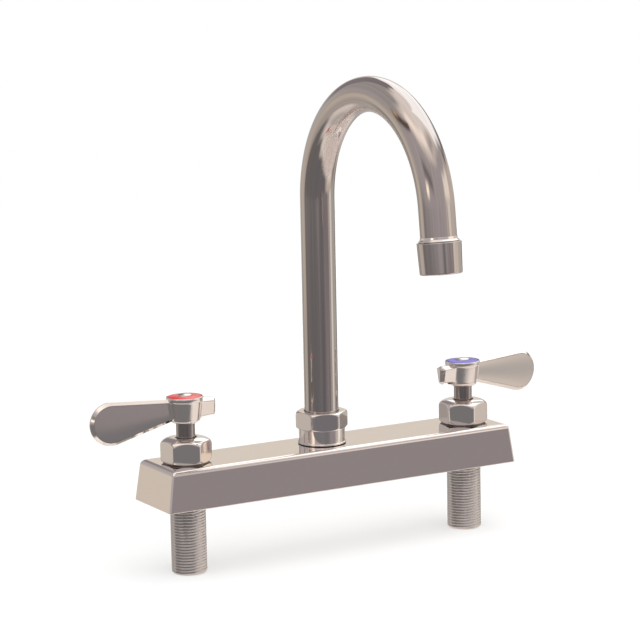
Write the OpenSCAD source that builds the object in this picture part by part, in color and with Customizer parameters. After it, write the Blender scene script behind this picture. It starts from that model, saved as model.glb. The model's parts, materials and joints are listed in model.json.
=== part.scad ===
// Deck-mount faucet: cast body on two threaded inlet shanks, a swivel gooseneck
// spout and two quarter-turn lever valves.
// The origin is the middle of the body's underside, on the deck.
// Z is up, Y is to the back, X is to the cold side. The spout points to the front.

/* [Body] */
// Distance between the two valve axes
handle_centres = 203.2; // [180:0.1:230]
// Body length beyond each valve axis, at the deck
body_end = 24.4; // [22:0.1:40]
// Width of the body at the deck
body_width = 49; // [46:0.5:60]
// Height of the body
body_height = 25.4; // [24.6:0.1:32]
// How far each end leans in at the top
end_draft = 3.6; // [0.5:0.1:5]
// How far the front and back lean in at the top
side_draft = 1.6; // [0.5:0.1:3.5]
// Radius along the top edges
top_edge_radius = 3; // [0.5:0.1:4]
// Wall of the casting
body_wall = 3; // [2:0.1:4]
// Thickness of the casting's roof
roof_thickness = 4; // [2.5:0.1:6]
// Width of the waterway rib under the roof
waterway_width = 15; // [12:0.5:20]
// Diameter of the waterway inside the rib
waterway_bore = 8.6; // [6:0.1:9]
// Diameter of the bosses round the valves and the outlet
boss_diameter = 34; // [32:0.5:38]
// Thickness of the cross ribs
rib_thickness = 3; // [2:0.1:5]

/* [Inlet shanks] */
// Thread diameter of a shank
shank_diameter = 22.2; // [20:0.1:24]
// Length of a shank below the deck
shank_length = 44.5; // [30:0.5:70]
// Bore of a shank
shank_bore = 13; // [9:0.5:14]
// Chamfer at the lower end of a shank
shank_chamfer = 1.3; // [0.5:0.1:2]
// Diameter of the plain spigot inside the body
spigot_diameter = 18.8; // [17:0.1:19.5]
// Height of the spigot inside the body
spigot_height = 7; // [5:0.1:7.4]
// Depth of the relief round the thread in the body's underside
relief_depth = 1.2; // [0.5:0.1:2]

/* [Valve cartridges] */
// Diameter of the chamber round a cartridge
chamber_diameter = 22.6; // [21.6:0.1:23.4]
// Diameter of the bonnet thread in the body
bonnet_thread = 26.4; // [26:0.1:28]
// Depth of the bonnet thread in the body
ledge_depth = 8.4; // [7:0.1:8.8]
// Thickness of the web under the chamber
web_thickness = 2; // [1.5:0.1:2.5]
// Diameter of the port through the web
port_diameter = 11; // [8:0.1:12]
// Outer diameter of the cartridge cup
cup_diameter = 19.8; // [19.4:0.1:20.4]
// Wall of the cartridge cup
cup_wall = 1; // [0.8:0.1:1.1]
// Diameter of the cartridge barrel
barrel_diameter = 19.2; // [17:0.1:19.6]
// Thickness of the cartridge flange
flange_thickness = 2.2; // [1.5:0.1:3]
// Thickness of the seat seal
seal_thickness = 1.8; // [1:0.1:2.2]
// Thickness of a ceramic disc
disc_thickness = 2.5; // [2:0.1:2.8]
// Thickness of the spindle foot
foot_thickness = 2.2; // [1.6:0.1:2.8]
// Turn of the valve from shut to open, in degrees
quarter_turn = 90; // [80:1:100]
// Diameter of the spindle in the barrel
spindle_diameter = 9; // [8:0.1:10]
// Diameter of the spindle between bonnet and hub
neck_diameter = 11.7; // [11:0.1:12.4]

/* [Bonnets] */
// Width across the flats of a bonnet
bonnet_flats = 28; // [27.6:0.1:31]
// Height of a bonnet above its washer
bonnet_height = 14.8; // [13:0.1:20]
// Height of the domed shoulder
shoulder_height = 5; // [3:0.1:7]
// Diameter of the flat top
bonnet_top_diameter = 15; // [14:0.1:18]
// Thickness of the bonnet's roof
bonnet_roof = 3; // [2:0.1:4]
// Thickness of the bonnet washer
washer_thickness = 0.8; // [0.5:0.1:1.5]

/* [Handles] */
// Gap between bonnet and hub
hub_gap = 9.3; // [5:0.1:14]
// Height of the hub
hub_height = 16.3; // [15:0.1:20]
// Diameter of the hub at its rim
hub_rim_diameter = 23; // [22:0.1:26]
// Diameter of the hub near its foot
hub_foot_diameter = 18.6; // [16.5:0.1:19.4]
// Reach of the lever from the axis
lever_reach = 61.5; // [45:0.5:80]
// Thickness of the lever
lever_thickness = 5.4; // [4:0.1:7]
// Width of the rounded rim of the lever
lever_rim = 1.6; // [0.8:0.1:1.9]
// Sweep of the closed levers to the back, in degrees
lever_sweep = 7; // [0:1:15]
// Reach of the stub opposite the lever
stub_reach = 19.6; // [15:0.1:24]
// Diameter of the coloured index ring
index_diameter = 21.2; // [18:0.1:21.4]
// Diameter of the handle screw head
screw_head = 9; // [7:0.1:10]
// Number of spline teeth on the spindle
spline_teeth = 20; // [12:2:24]

/* [Spout mounting] */
// Place of the outlet along the body from its middle, minus to the hot side
outlet_offset = -5; // [-6:0.1:6]
// Diameter of the outlet collar on the body
collar_diameter = 29.3; // [28.6:0.1:31]
// Height of the collar below the nut
collar_height = 9.8; // [8:0.1:14]
// Width of the ring at the collar's foot
foot_ring = 0.6; // [0.3:0.1:1.2]
// Bore of the collar, in which the spout turns
outlet_bore = 18; // [17:0.1:18.8]
// Depth of the collar's nipple in the body
nipple_depth = 7.8; // [6:0.1:8.6]
// Thread diameter under the swivel nut
nut_thread = 25.2; // [25:0.1:25.8]
// Width across the flats of the swivel nut
nut_flats = 29.5; // [29:0.1:33]
// Height of the swivel nut
nut_height = 11; // [10.2:0.1:14]

/* [Spout] */
// Outer diameter of the tube
tube_diameter = 21.5; // [20:0.1:22.4]
// Wall of the tube
tube_wall = 1.2; // [0.8:0.1:1.6]
// Radius of the gooseneck's centre line
arch_radius = 69.5; // [50:0.5:90]
// Height of the gooseneck's centre above the deck
arch_height = 181; // [140:1:240]
// Turn of the gooseneck, in degrees
arch_turn = 173.7; // [150:0.1:180]
// Straight length after the bend
drop_length = 16.3; // [8:0.1:30]

/* [Aerator] */
// Length of the aerator housing
aerator_length = 18.8; // [16:0.1:26]
// Diameter of the housing at its top
aerator_top = 26.3; // [26:0.1:30]
// Diameter of the housing at its mouth
aerator_mouth = 25; // [24.4:0.1:26]
// Height of the outlet fitting's flared ring
ferrule_height = 3; // [2:0.1:5]
// Diameter of the outlet fitting's thread
outlet_thread = 22.6; // [22:0.1:23.2]

/* [Hidden] */
$fn = 96;

// Clearances: thread and press gap, running gap, gap between turning neighbours
fit_gap = 0.05;
run_gap = 0.05;
free_gap = 0.3;

// Room round the thread in the relief of the body's underside
relief_gap = 0.2;

// How far each hexagon stopped from square when it was tightened, in degrees
hot_bonnet_turn = 5;
cold_bonnet_turn = -8;
nut_turn = 10;

// Stock left outside the corners of a hexagon by the turning of its chamfers
corner_clear = 0.15;

// Heights of the valve stack
web_top = spigot_height + web_thickness;
ledge_z = body_height - ledge_depth;
flange_top = ledge_z + flange_thickness;
seal_top = web_top + seal_thickness;
fixed_disc_top = seal_top + disc_thickness;
turning_disc_z = fixed_disc_top + run_gap;
turning_disc_top = turning_disc_z + disc_thickness;
foot_top = turning_disc_top + foot_thickness;
cavity_top = foot_top + free_gap;
bonnet_z = body_height + washer_thickness;
bonnet_top = bonnet_z + bonnet_height;
bonnet_cavity_top = bonnet_top - bonnet_roof;
barrel_top = bonnet_cavity_top - free_gap;
hub_z = bonnet_top + hub_gap;
hub_top = hub_z + hub_height;
hub_round = 2.4;
taper_height = 8.5;
taper_step = 0.8;
rim_band = 2.3;
rim_round = 0.9;

// Radii of the valve stack
cup_inner = cup_diameter / 2 - cup_wall;
disc_radius = cup_inner - 0.2;
disc_port_inner = 2.6;
disc_port_width = 4.2;
disc_port_turn = 76;
flange_radius = bonnet_thread / 2 - 0.2;
barrel_room = barrel_diameter / 2 + 0.4;
neck_hole = neck_diameter / 2 + free_gap;
foot_radius = 5.6;
lug_radius = disc_radius - 0.2;
lug_turn = 30;
lug_inset = 0.3;
stop_margin = 2;
stop_inner = foot_radius + free_gap;
tang_width = 3;
tang_length = 4.4;
tang_height = 1;
oring_section = 1.4;
oring_z = (cavity_top + barrel_top) / 2;

// Handle details
socket_depth = 2;
spline_radius = 4.1;
spline_tooth = 0.35;
spline_length = 8;
index_recess = 1.3;
index_rise = 0.7;
index_z = hub_top - index_recess;
boss_radius = screw_head / 2;
screw_radius = 1.9;
screw_length = 9;
screw_dome = 1.7;
slot_width = 1.2;
slot_depth = 0.8;
lever_root_z = hub_z + 1.3;
lever_top_z = hub_z + 17;
lever_root_top = hub_z + 15.2;
tip_radius = 13.5;
root_thickness = 9;
root_place = 6;
neck_place = 19;
stub_tip_low = hub_z + 4;
stub_tip_high = hub_z + 14.1;
stub_tip_thickness = 5.6;

// Spout stack
chamber_floor = 5;
chamber_radius = outlet_bore / 2 + 0.5;
nipple_radius = nut_thread / 2 - 0.4;
foot_ring_height = 1.2;
nut_z = body_height + collar_height;
nut_top = nut_z + nut_height;
nut_lip = 2.3;
spout_flange_thickness = 1.5;
glide_thickness = 1;
glide_top = nut_top - nut_lip - free_gap;
spout_flange_top = glide_top - glide_thickness;
spout_flange_z = spout_flange_top - spout_flange_thickness;
collar_top = spout_flange_z - 0.1;
spigot_radius = outlet_bore / 2 - run_gap;
spigot_bore = outlet_bore / 2 - 2.8;
spigot_z = body_height + 2;
spout_oring_section = 1.2;
spout_oring_places = [spigot_z + 2.5, spigot_z + 7];
spout_flange_radius = nut_thread / 2 - free_gap;
tube_socket = 9.5;
tube_radius = tube_diameter / 2;
tube_inner = tube_radius - tube_wall;
bend_thinning = 0.06;

// End of the gooseneck
tilt = 180 - arch_turn;
arch_end_y = -arch_radius * (1 - cos(arch_turn));
arch_end_z = arch_height + arch_radius * sin(arch_turn);
drop_y = arch_end_y - drop_length * sin(arch_turn);
drop_z = arch_end_z + drop_length * cos(arch_turn);

// Aerator stack, down from the tube's end
thread_length = 7;
aerator_lip = 1.6;
aerator_gap = 0.1;
mouth_width = 2.2;
mouth_round = 1.2;
mouth_hole = aerator_mouth / 2 - mouth_width;
aerator_bore = outlet_thread / 2 + fit_gap;
thread_end = ferrule_height + thread_length;
washer_height = 2;
screen_height = 0.8;
insert_flange = 1.5;
housing_z = ferrule_height + aerator_gap;
insert_rim_z = housing_z + aerator_length - aerator_lip;
screen_z = insert_rim_z - insert_flange;
washer_z = screen_z - screen_height;
jet_holes = 12;

chrome = "#b5aca5";
brass = "#c9a24e";
rubber = "#2b2b2b";
ceramic = "#e9e6dc";
plastic = "#d9dcde";
steel = "#9da0a3";
hot_red = "#d8383c";
cold_blue = "#4440b8";

// Points along an arc in a flat outline
function arc_points(x, y, rx, ry, from, to, steps) =
    [for (i = [0 : steps])
        let (a = from + (to - from) * i / steps)
        [x + rx * cos(a), y + ry * sin(a)]];

// A turned piece or ring from its radii and heights
module ring(inner, outer, low, high) {
    translate([0, 0, low])
    difference() {
        cylinder(r = outer, h = high - low);
        translate([0, 0, -1]) cylinder(r = inner, h = high - low + 2);
    }
}

module bore(radius, low, high) {
    translate([0, 0, low]) cylinder(r = radius, h = high - low);
}

// A wedge-shaped length of ring, from one angle through a turn
module ring_sector(inner, outer, low, high, from, turn) {
    rotate([0, 0, from])
    rotate_extrude(angle = turn)
    translate([inner, low]) square([outer - inner, high - low]);
}

// Places a valve piece; the cold side is the mirror of the hot side
module valve_place(cold) {
    mirror([cold ? 1 : 0, 0, 0])
    translate([-handle_centres / 2, 0, 0])
    children();
}

// Places a piece on the outlet's axis
module outlet_place() {
    translate([outlet_offset, 0, 0])
    children();
}

// Half of a sloping-sided bar's outline with rounded top corners
function bar_outline(half, draft, low, high, slope_high, radius) =
    let (lean = atan(draft / slope_high),
        top = half - draft * high / slope_high,
        cx = top - radius * tan(45 - lean / 2),
        cy = high - radius)
    concat([[half - draft * low / slope_high, low]],
        arc_points(cx, cy, radius, radius, lean, 90, 6),
        [for (p = arc_points(cx, cy, radius, radius, 90, lean, 6)) [-p[0], p[1]]],
        [[-half + draft * low / slope_high, low]]);

// Bar with four sloping sides, cut from two outlines that cross
module sloping_bar(half_length, half_width, low, high, radius) {
    intersection() {
        rotate([90, 0, 0])
        linear_extrude(2 * half_width + 2, center = true)
        polygon(bar_outline(half_length, end_draft, low, high, body_height, radius));
        rotate([90, 0, 90])
        linear_extrude(2 * half_length + 2, center = true)
        polygon(bar_outline(half_width, side_draft, low, high, body_height, radius));
    }
}

// Casting: sloping bar, cored from below round its bosses, ribs and waterway
module body() {
    half_length = handle_centres / 2 + body_end;
    half_width = body_width / 2;
    inner_top = body_height - roof_thickness;
    color(chrome)
    difference() {
        sloping_bar(half_length, half_width, 0, body_height, top_edge_radius);
        difference() {
            sloping_bar(half_length - body_wall, half_width - body_wall,
                -1, inner_top, 1);
            for (x = [-handle_centres / 2, outlet_offset, handle_centres / 2])
                translate([x, 0, -2])
                cylinder(d = boss_diameter, h = body_height);
            translate([-handle_centres / 2, -waterway_width / 2, -2])
                cube([handle_centres, waterway_width, body_height]);
            for (x = [-handle_centres / 2, -handle_centres / 4, outlet_offset,
                    handle_centres / 4, handle_centres / 2])
                translate([x - rib_thickness / 2, -half_width, -2])
                cube([rib_thickness, body_width, body_height]);
        }
        for (cold = [false, true])
            valve_place(cold) {
                bore(spigot_diameter / 2 + fit_gap, -1, spigot_height);
                bore(shank_diameter / 2 + relief_gap, -1, relief_depth);
                bore(port_diameter / 2, 0, body_height);
                bore(chamber_diameter / 2, web_top, body_height);
                bore(bonnet_thread / 2, ledge_z, body_height + 1);
            }
        outlet_place() {
            bore(chamber_radius, chamber_floor, body_height);
            bore(nipple_radius + fit_gap, body_height - nipple_depth - fit_gap,
                body_height + 1);
        }
        translate([-handle_centres / 2, 0, (web_top + ledge_z) / 2])
            rotate([0, 90, 0])
            cylinder(d = waterway_bore, h = handle_centres);
    }
}

// Inlet shank with its spigot in the body; the thread is a plain cylinder
module inlet_shank(cold) {
    outer = shank_diameter / 2;
    color(chrome)
    valve_place(cold)
    rotate_extrude()
    polygon([[shank_bore / 2, spigot_height],
        [shank_bore / 2, -shank_length],
        [outer - shank_chamfer, -shank_length],
        [outer, shank_chamfer - shank_length],
        [outer, 0],
        [spigot_diameter / 2, 0],
        [spigot_diameter / 2, spigot_height]]);
}

module bonnet_washer(cold) {
    color(chrome)
    valve_place(cold)
    ring(bonnet_thread / 2 + fit_gap, bonnet_flats / 2 + 0.4, body_height, bonnet_z);
}

// Domed hexagon bonnet with a threaded skirt that clamps the cartridge
module bonnet(cold) {
    corner = bonnet_flats / sqrt(3);
    turned = corner + corner_clear;
    top_radius = bonnet_top_diameter / 2;
    dome_z = bonnet_top - shoulder_height;
    lip = 0.8;
    color(chrome)
    valve_place(cold)
    difference() {
        union() {
            intersection() {
                translate([0, 0, bonnet_z])
                    rotate([0, 0, 30 + (cold ? cold_bonnet_turn : hot_bonnet_turn)])
                    cylinder(r = corner, h = bonnet_height, $fn = 6);
                rotate_extrude()
                    polygon(concat([[0, bonnet_z], [corner - 1.8, bonnet_z],
                        [corner - 0.5, bonnet_z + 0.9], [turned, bonnet_z + 2.4]],
                        arc_points(top_radius, dome_z, turned - top_radius,
                            shoulder_height, 0, 90, 8),
                        [[0, bonnet_top]]));
            }
            ring(neck_hole, neck_hole + 0.8, bonnet_top - 1, bonnet_top + lip);
            bore(bonnet_thread / 2 - fit_gap, flange_top, bonnet_z + 1);
        }
        bore(barrel_room, flange_top - 1, bonnet_cavity_top);
        bore(neck_hole, flange_top - 1, bonnet_top + lip + 1);
    }
}

// Cartridge: windowed cup, clamping flange and barrel, with the quarter-turn stops inside
module cartridge(cold) {
    window = 7;
    free_turn = quarter_turn + lug_turn + 2 * stop_margin;
    color(brass)
    valve_place(cold)
    difference() {
        union() {
            bore(cup_diameter / 2, web_top, flange_top);
            bore(flange_radius, ledge_z, flange_top);
            bore(barrel_diameter / 2, flange_top - 0.5, barrel_top);
        }
        difference() {
            bore(cup_inner, web_top - 1, cavity_top);
            ring_sector(stop_inner, cup_inner + 1, turning_disc_top + free_gap, cavity_top + 1,
                quarter_turn + lug_turn / 2 + stop_margin, 360 - free_turn);
        }
        bore(spindle_diameter / 2 + run_gap, web_top, barrel_top + 1);
        for (turn = [0, 90])
            rotate([0, 0, turn])
            translate([-cup_diameter, -window / 2, fixed_disc_top + 0.4])
            cube([2 * cup_diameter, window, ledge_z - fixed_disc_top - 0.9]);
    }
}

module seat_seal(cold) {
    color(rubber)
    valve_place(cold)
    ring(port_diameter / 2 - 0.5, cup_inner - 0.1, web_top, seal_top);
}

// Ceramic disc with two opposite ports
module ceramic_disc(low, radius, port_from) {
    difference() {
        bore(radius, low, low + disc_thickness);
        for (turn = [0, 180])
            ring_sector(disc_port_inner, disc_port_inner + disc_port_width,
                low - 1, low + disc_thickness + 1, port_from + turn - disc_port_turn / 2,
                disc_port_turn);
    }
}

module fixed_disc(cold) {
    color(ceramic)
    valve_place(cold)
    ceramic_disc(seal_top, cup_inner - 0.1, 90);
}

// The turning disc shuts the ports at rest and has a slot for the spindle's tang
module turning_disc(cold) {
    color(ceramic)
    valve_place(cold)
    difference() {
        ceramic_disc(turning_disc_z, disc_radius, 0);
        translate([-tang_width / 2 - fit_gap, -tang_length / 2 - fit_gap,
            turning_disc_top - tang_height - fit_gap])
        cube([tang_width + 2 * fit_gap, tang_length + 2 * fit_gap, tang_height + 1]);
    }
}

// Toothed outline of the spline that carries the handle
module spline_outline(radius) {
    polygon([for (i = [0 : 2 * spline_teeth - 1])
        let (r = radius - (i % 2) * spline_tooth, a = 180 * i / spline_teeth)
        [r * cos(a), r * sin(a)]]);
}

// Spindle: tang, stop lug, shaft with O-ring groove, neck and spline
module spindle(cold) {
    shaft = spindle_diameter / 2;
    groove = shaft - oring_section;
    neck_low = barrel_top + free_gap;
    neck_high = hub_z + socket_depth;
    color(brass)
    valve_place(cold)
    difference() {
        union() {
            translate([-tang_width / 2, -tang_length / 2, turning_disc_top - tang_height])
                cube([tang_width, tang_length, tang_height + 0.5]);
            bore(foot_radius, turning_disc_top, foot_top);
            ring_sector(foot_radius - 1, lug_radius, turning_disc_top + lug_inset,
                foot_top - lug_inset, -lug_turn / 2, lug_turn);
            bore(shaft, foot_top - 0.5, neck_low + 0.5);
            bore(neck_diameter / 2, neck_low, neck_high);
            translate([0, 0, neck_high - 0.5])
                linear_extrude(spline_length + 0.5)
                spline_outline(spline_radius);
        }
        ring(groove, shaft + 1, oring_z - oring_section / 2 - 0.2,
            oring_z + oring_section / 2 + 0.2);
        bore(screw_radius + fit_gap, hub_top - screw_length - 1, hub_top);
    }
}

module spindle_oring(cold) {
    color(rubber)
    valve_place(cold)
    translate([0, 0, oring_z])
    rotate_extrude()
    translate([spindle_diameter / 2 - oring_section / 2, 0])
    circle(d = oring_section);
}

// Paddle of the lever, standing on edge, with a rounded rim
module lever_paddle() {
    hull()
        for (layer = [[lever_thickness, lever_rim], [lever_thickness - 1.6 * lever_rim, 0.4 * lever_rim],
                [lever_thickness - 2 * lever_rim, 0]]) {
            translate([lever_reach - tip_radius, 0, lever_top_z - tip_radius])
                rotate([90, 0, 0])
                cylinder(r = tip_radius - layer[1], h = layer[0], center = true, $fn = 60);
            translate([root_place, -layer[0] / 2, lever_root_z + layer[1]])
                cube([1, layer[0], lever_root_top - lever_root_z - 2 * layer[1]]);
        }
}

// Rectangle on edge with cut corners, a thin slice of an arm
module arm_slice(place, thickness, low, high, cut) {
    half = thickness / 2;
    translate([place, 0, 0])
    rotate([90, 0, 90])
    linear_extrude(0.4)
    polygon([[-half, low + cut], [-half + cut, low], [half - cut, low], [half, low + cut],
        [half, high - cut], [half - cut, high], [-half + cut, high], [-half, high - cut]]);
}

// Outline of the hub, turned about its axis
module hub_turning() {
    rim = hub_rim_diameter / 2;
    foot = hub_foot_diameter / 2;
    rotate_extrude()
    polygon(concat([[0, hub_z]],
        arc_points(foot - hub_round, hub_z + hub_round, hub_round, hub_round, -90, 0, 6),
        [[foot + taper_step, hub_z + taper_height], [rim - 0.2, hub_top - rim_band]],
        arc_points(rim - 0.4, hub_top - rim_round, 0.4, rim_round, -30, 70, 5),
        [[0, hub_top]]));
}

// Handle: turned hub, lever and stub; bored for spindle and screw, recessed for the ring
module handle(cold) {
    spline_room = hub_z + socket_depth + spline_length + free_gap;
    color(chrome)
    valve_place(cold)
    difference() {
        rotate([0, 0, 180 - lever_sweep])
        union() {
            hub_turning();
            lever_paddle();
            hull() {
                arm_slice(root_place, root_thickness, lever_root_z, lever_root_top, 1.2);
                arm_slice(neck_place, lever_thickness - 0.4, lever_root_z,
                    lever_root_top, 1.2);
            }
            hull() {
                arm_slice(-root_place, root_thickness, lever_root_z, lever_root_top - 0.6, 1.2);
                arm_slice(-stub_reach, stub_tip_thickness, stub_tip_low, stub_tip_high, 1.4);
            }
        }
        bore(neck_diameter / 2 + fit_gap, hub_z - 1, hub_z + socket_depth);
        translate([0, 0, hub_z])
            linear_extrude(spline_room - hub_z)
            spline_outline(spline_radius + 0.1);
        bore(screw_radius + 0.2, hub_z, hub_top + 1);
        ring(boss_radius, index_diameter / 2 + 0.1, index_z, hub_top + 1);
    }
}

module index_ring(cold) {
    color(cold ? cold_blue : hot_red)
    valve_place(cold)
    rotate_extrude()
    polygon([[boss_radius + 0.1, index_z],
        [index_diameter / 2, index_z],
        [index_diameter / 2, hub_top - 0.3],
        [index_diameter / 2 - 0.6, hub_top],
        [boss_radius + 0.1, hub_top + index_rise]]);
}

// Domed screw with a slot, down through the hub into the spindle
module handle_screw(cold) {
    head = screw_head / 2;
    color(steel)
    valve_place(cold)
    difference() {
        union() {
            rotate_extrude()
                polygon(concat([[0, hub_top], [head - 0.1, hub_top], [head, hub_top + 0.6]],
                    arc_points(0, hub_top + 0.6, head, screw_dome - 0.6, 15, 90, 6)));
            bore(screw_radius, hub_top - screw_length, hub_top + 0.5);
        }
        translate([-head, -slot_width / 2, hub_top + screw_dome - slot_depth])
            cube([2 * head, slot_width, slot_depth + 1]);
    }
}

// Collar on the body: nipple below, foot ring, barrel and thread above
module outlet_collar() {
    outer = collar_diameter / 2;
    color(chrome)
    outlet_place()
    rotate_extrude()
    polygon([[outlet_bore / 2, body_height - nipple_depth],
        [nipple_radius, body_height - nipple_depth],
        [nipple_radius, body_height],
        [outer + foot_ring, body_height],
        [outer + foot_ring, body_height + foot_ring_height - 0.4],
        [outer + foot_ring - 0.4, body_height + foot_ring_height],
        [outer, body_height + foot_ring_height + 0.2],
        [outer, nut_z],
        [nut_thread / 2, nut_z],
        [nut_thread / 2, collar_top],
        [outlet_bore / 2, collar_top]]);
}

// Hexagon nut with rounded chamfers at both ends, which traps the spout's flange
module swivel_nut() {
    corner = nut_flats / sqrt(3);
    turned = corner + corner_clear;
    color(chrome)
    outlet_place()
    difference() {
        intersection() {
            translate([0, 0, nut_z])
                rotate([0, 0, 30 + nut_turn])
                cylinder(r = corner, h = nut_height, $fn = 6);
            rotate_extrude()
                polygon(concat([[0, nut_z]],
                    arc_points(turned - 2.4, nut_z + 2.4, 2.4, 2.4, -90, 0, 6),
                    arc_points(turned - 3.4, nut_top - 2.8, 3.4, 2.8, 0, 90, 6),
                    [[0, nut_top]]));
        }
        bore(nut_thread / 2 + fit_gap, nut_z - 1, nut_top - nut_lip);
        bore(tube_radius + free_gap, nut_z - 1, nut_top + 1);
    }
}

// Turned end of the spout: grooved spigot, flange and socket for the tube
module spout_spigot() {
    groove = spigot_radius - spout_oring_section;
    half_groove = spout_oring_section / 2 + 0.15;
    color(brass)
    outlet_place()
    difference() {
        union() {
            bore(spigot_radius, spigot_z, spout_flange_z + 0.5);
            bore(spout_flange_radius, spout_flange_z, spout_flange_top);
            bore(tube_inner, spout_flange_top - 0.5, spout_flange_top + tube_socket);
        }
        bore(spigot_bore, spigot_z - 1, spout_flange_top + tube_socket + 1);
        for (z = spout_oring_places)
            ring(groove, spigot_radius + 1, z - half_groove, z + half_groove);
    }
}

module spout_orings() {
    color(rubber)
    for (z = spout_oring_places)
        translate([outlet_offset, 0, z])
        rotate_extrude()
        translate([spigot_radius - spout_oring_section / 2, 0])
        circle(d = spout_oring_section);
}

module glide_washer() {
    color(plastic)
    outlet_place()
    ring(tube_radius + fit_gap, spout_flange_radius, spout_flange_top, glide_top);
}

// Gooseneck: riser, bend and short straight drop of one tube
module spout_tube() {
    color(chrome)
    union() {
        outlet_place()
            ring(tube_inner, tube_radius, spout_flange_top, arch_height);
        translate([outlet_offset, -arch_radius, arch_height])
            rotate([90, 0, 90])
            rotate_extrude(angle = arch_turn)
            translate([arch_radius, 0])
            difference() {
                circle(r = tube_radius - bend_thinning);
                circle(r = tube_inner + bend_thinning);
            }
        spout_end()
            ring(tube_inner, tube_radius, 0, drop_length);
    }
}

// Frame at the tube's end, its Z back up along the drop
module spout_end() {
    translate([outlet_offset, drop_y, drop_z])
    rotate([-tilt, 0, 0])
    children();
}

// Outlet fitting: spigot in the tube, flared ring and male thread
module outlet_fitting() {
    flare = aerator_bore + 0.7;
    color(chrome)
    spout_end()
    rotate_extrude()
    polygon([[tube_inner - 1.6, 6],
        [tube_inner, 6],
        [tube_inner, 0],
        [tube_radius + 0.1, 0],
        [tube_radius + 0.25, -ferrule_height * 0.5],
        [flare, -ferrule_height * 0.85],
        [flare, -ferrule_height],
        [outlet_thread / 2, -ferrule_height],
        [outlet_thread / 2, -thread_end],
        [tube_inner - 1.6, -thread_end]]);
}

module aerator_washer() {
    color(rubber)
    spout_end()
    ring(mouth_hole - 1.5, aerator_bore - 0.1, -washer_z, -thread_end - aerator_gap);
}

// Housing that screws on to the fitting, tapering to a rounded mouth
module aerator_housing() {
    top = aerator_top / 2;
    mouth = aerator_mouth / 2;
    foot_z = -housing_z - aerator_length;
    color(chrome)
    spout_end()
    rotate_extrude()
    polygon(concat([[aerator_bore, -housing_z], [aerator_bore, foot_z + aerator_lip],
        [mouth_hole, foot_z + aerator_lip], [mouth_hole, foot_z + 0.4],
        [mouth_hole + 0.4, foot_z]],
        arc_points(mouth - mouth_round, foot_z + mouth_round, mouth_round, mouth_round, -90, 0, 5),
        [[top, -housing_z - 0.5], [top - 0.4, -housing_z]]));
}

module aerator_screen() {
    color(steel)
    spout_end()
    translate([0, 0, -screen_z])
    cylinder(r = aerator_bore - 0.2, h = screen_height);
}

// Flow insert: rim on the housing's lip and a nozzle plate with a ring of jets
module aerator_insert() {
    nozzle = mouth_hole - 0.1;
    depth = aerator_lip - 0.8;
    color(plastic)
    spout_end()
    difference() {
        union() {
            bore(aerator_bore - 0.2, -insert_rim_z, -screen_z);
            bore(nozzle, -insert_rim_z - depth, -insert_rim_z + 0.5);
        }
        for (i = [0 : jet_holes - 1])
            rotate([0, 0, 360 * i / jet_holes])
            translate([nozzle * 0.72, 0, -insert_rim_z - depth - 1])
            cylinder(r = 0.9, h = depth + insert_flange + 2);
    }
}

body();
inlet_shank(false);  // inlet_shank_hot
inlet_shank(true);  // inlet_shank_cold
bonnet_washer(false);  // bonnet_washer_hot
bonnet_washer(true);  // bonnet_washer_cold
bonnet(false);  // bonnet_hot
bonnet(true);  // bonnet_cold
cartridge(false);  // cartridge_hot
cartridge(true);  // cartridge_cold
seat_seal(false);  // seat_seal_hot
seat_seal(true);  // seat_seal_cold
fixed_disc(false);  // fixed_disc_hot
fixed_disc(true);  // fixed_disc_cold
turning_disc(false);  // turning_disc_hot
turning_disc(true);  // turning_disc_cold
spindle(false);  // spindle_hot
spindle(true);  // spindle_cold
spindle_oring(false);  // spindle_oring_hot
spindle_oring(true);  // spindle_oring_cold
handle(false);  // handle_hot
handle(true);  // handle_cold
index_ring(false);  // index_ring_hot
index_ring(true);  // index_ring_cold
handle_screw(false);  // handle_screw_hot
handle_screw(true);  // handle_screw_cold
outlet_collar();
swivel_nut();
spout_spigot();
spout_orings();
glide_washer();
spout_tube();
outlet_fitting();
aerator_washer();
aerator_housing();
aerator_screen();
aerator_insert();
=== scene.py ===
"""Looks of the deck-mount faucet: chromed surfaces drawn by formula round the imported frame."""

import json
import math
from collections import namedtuple

import bmesh
import bpy
import numpy as np
from mathutils import Matrix, Vector


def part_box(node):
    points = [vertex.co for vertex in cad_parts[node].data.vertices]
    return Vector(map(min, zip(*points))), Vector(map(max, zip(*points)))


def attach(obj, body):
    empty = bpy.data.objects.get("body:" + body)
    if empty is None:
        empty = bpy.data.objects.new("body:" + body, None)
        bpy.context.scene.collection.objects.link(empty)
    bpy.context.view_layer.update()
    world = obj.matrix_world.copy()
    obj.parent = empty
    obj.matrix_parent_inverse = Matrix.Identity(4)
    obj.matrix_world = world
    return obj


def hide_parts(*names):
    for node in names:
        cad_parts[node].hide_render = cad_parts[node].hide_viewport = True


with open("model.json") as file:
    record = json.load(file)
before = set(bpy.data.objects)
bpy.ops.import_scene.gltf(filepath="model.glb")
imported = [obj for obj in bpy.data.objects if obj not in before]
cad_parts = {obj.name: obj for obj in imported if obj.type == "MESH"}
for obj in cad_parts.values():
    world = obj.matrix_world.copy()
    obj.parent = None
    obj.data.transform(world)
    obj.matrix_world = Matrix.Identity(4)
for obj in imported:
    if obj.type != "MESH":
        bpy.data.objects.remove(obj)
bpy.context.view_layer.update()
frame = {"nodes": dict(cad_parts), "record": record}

bl_info = {
    "name": "Deck-mount faucet",
    "version": (1, 0, 0),
    "blender": (4, 5, 0),
    "location": "View3D > Sidebar > Faucet",
    "description": "Chromed looks and a soft studio for the packed deck-mount faucet",
    "category": "Object",
}

MM = 0.001
TURN = 2 * math.pi
SIDES = ("hot", "cold")

# Angles of the columns round a turned piece
ROUND = np.linspace(0, TURN, 144, endpoint=False)

# Vertices of a CAD mesh that are nearer than this are one, in metres
SEAM = 2e-6

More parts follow.
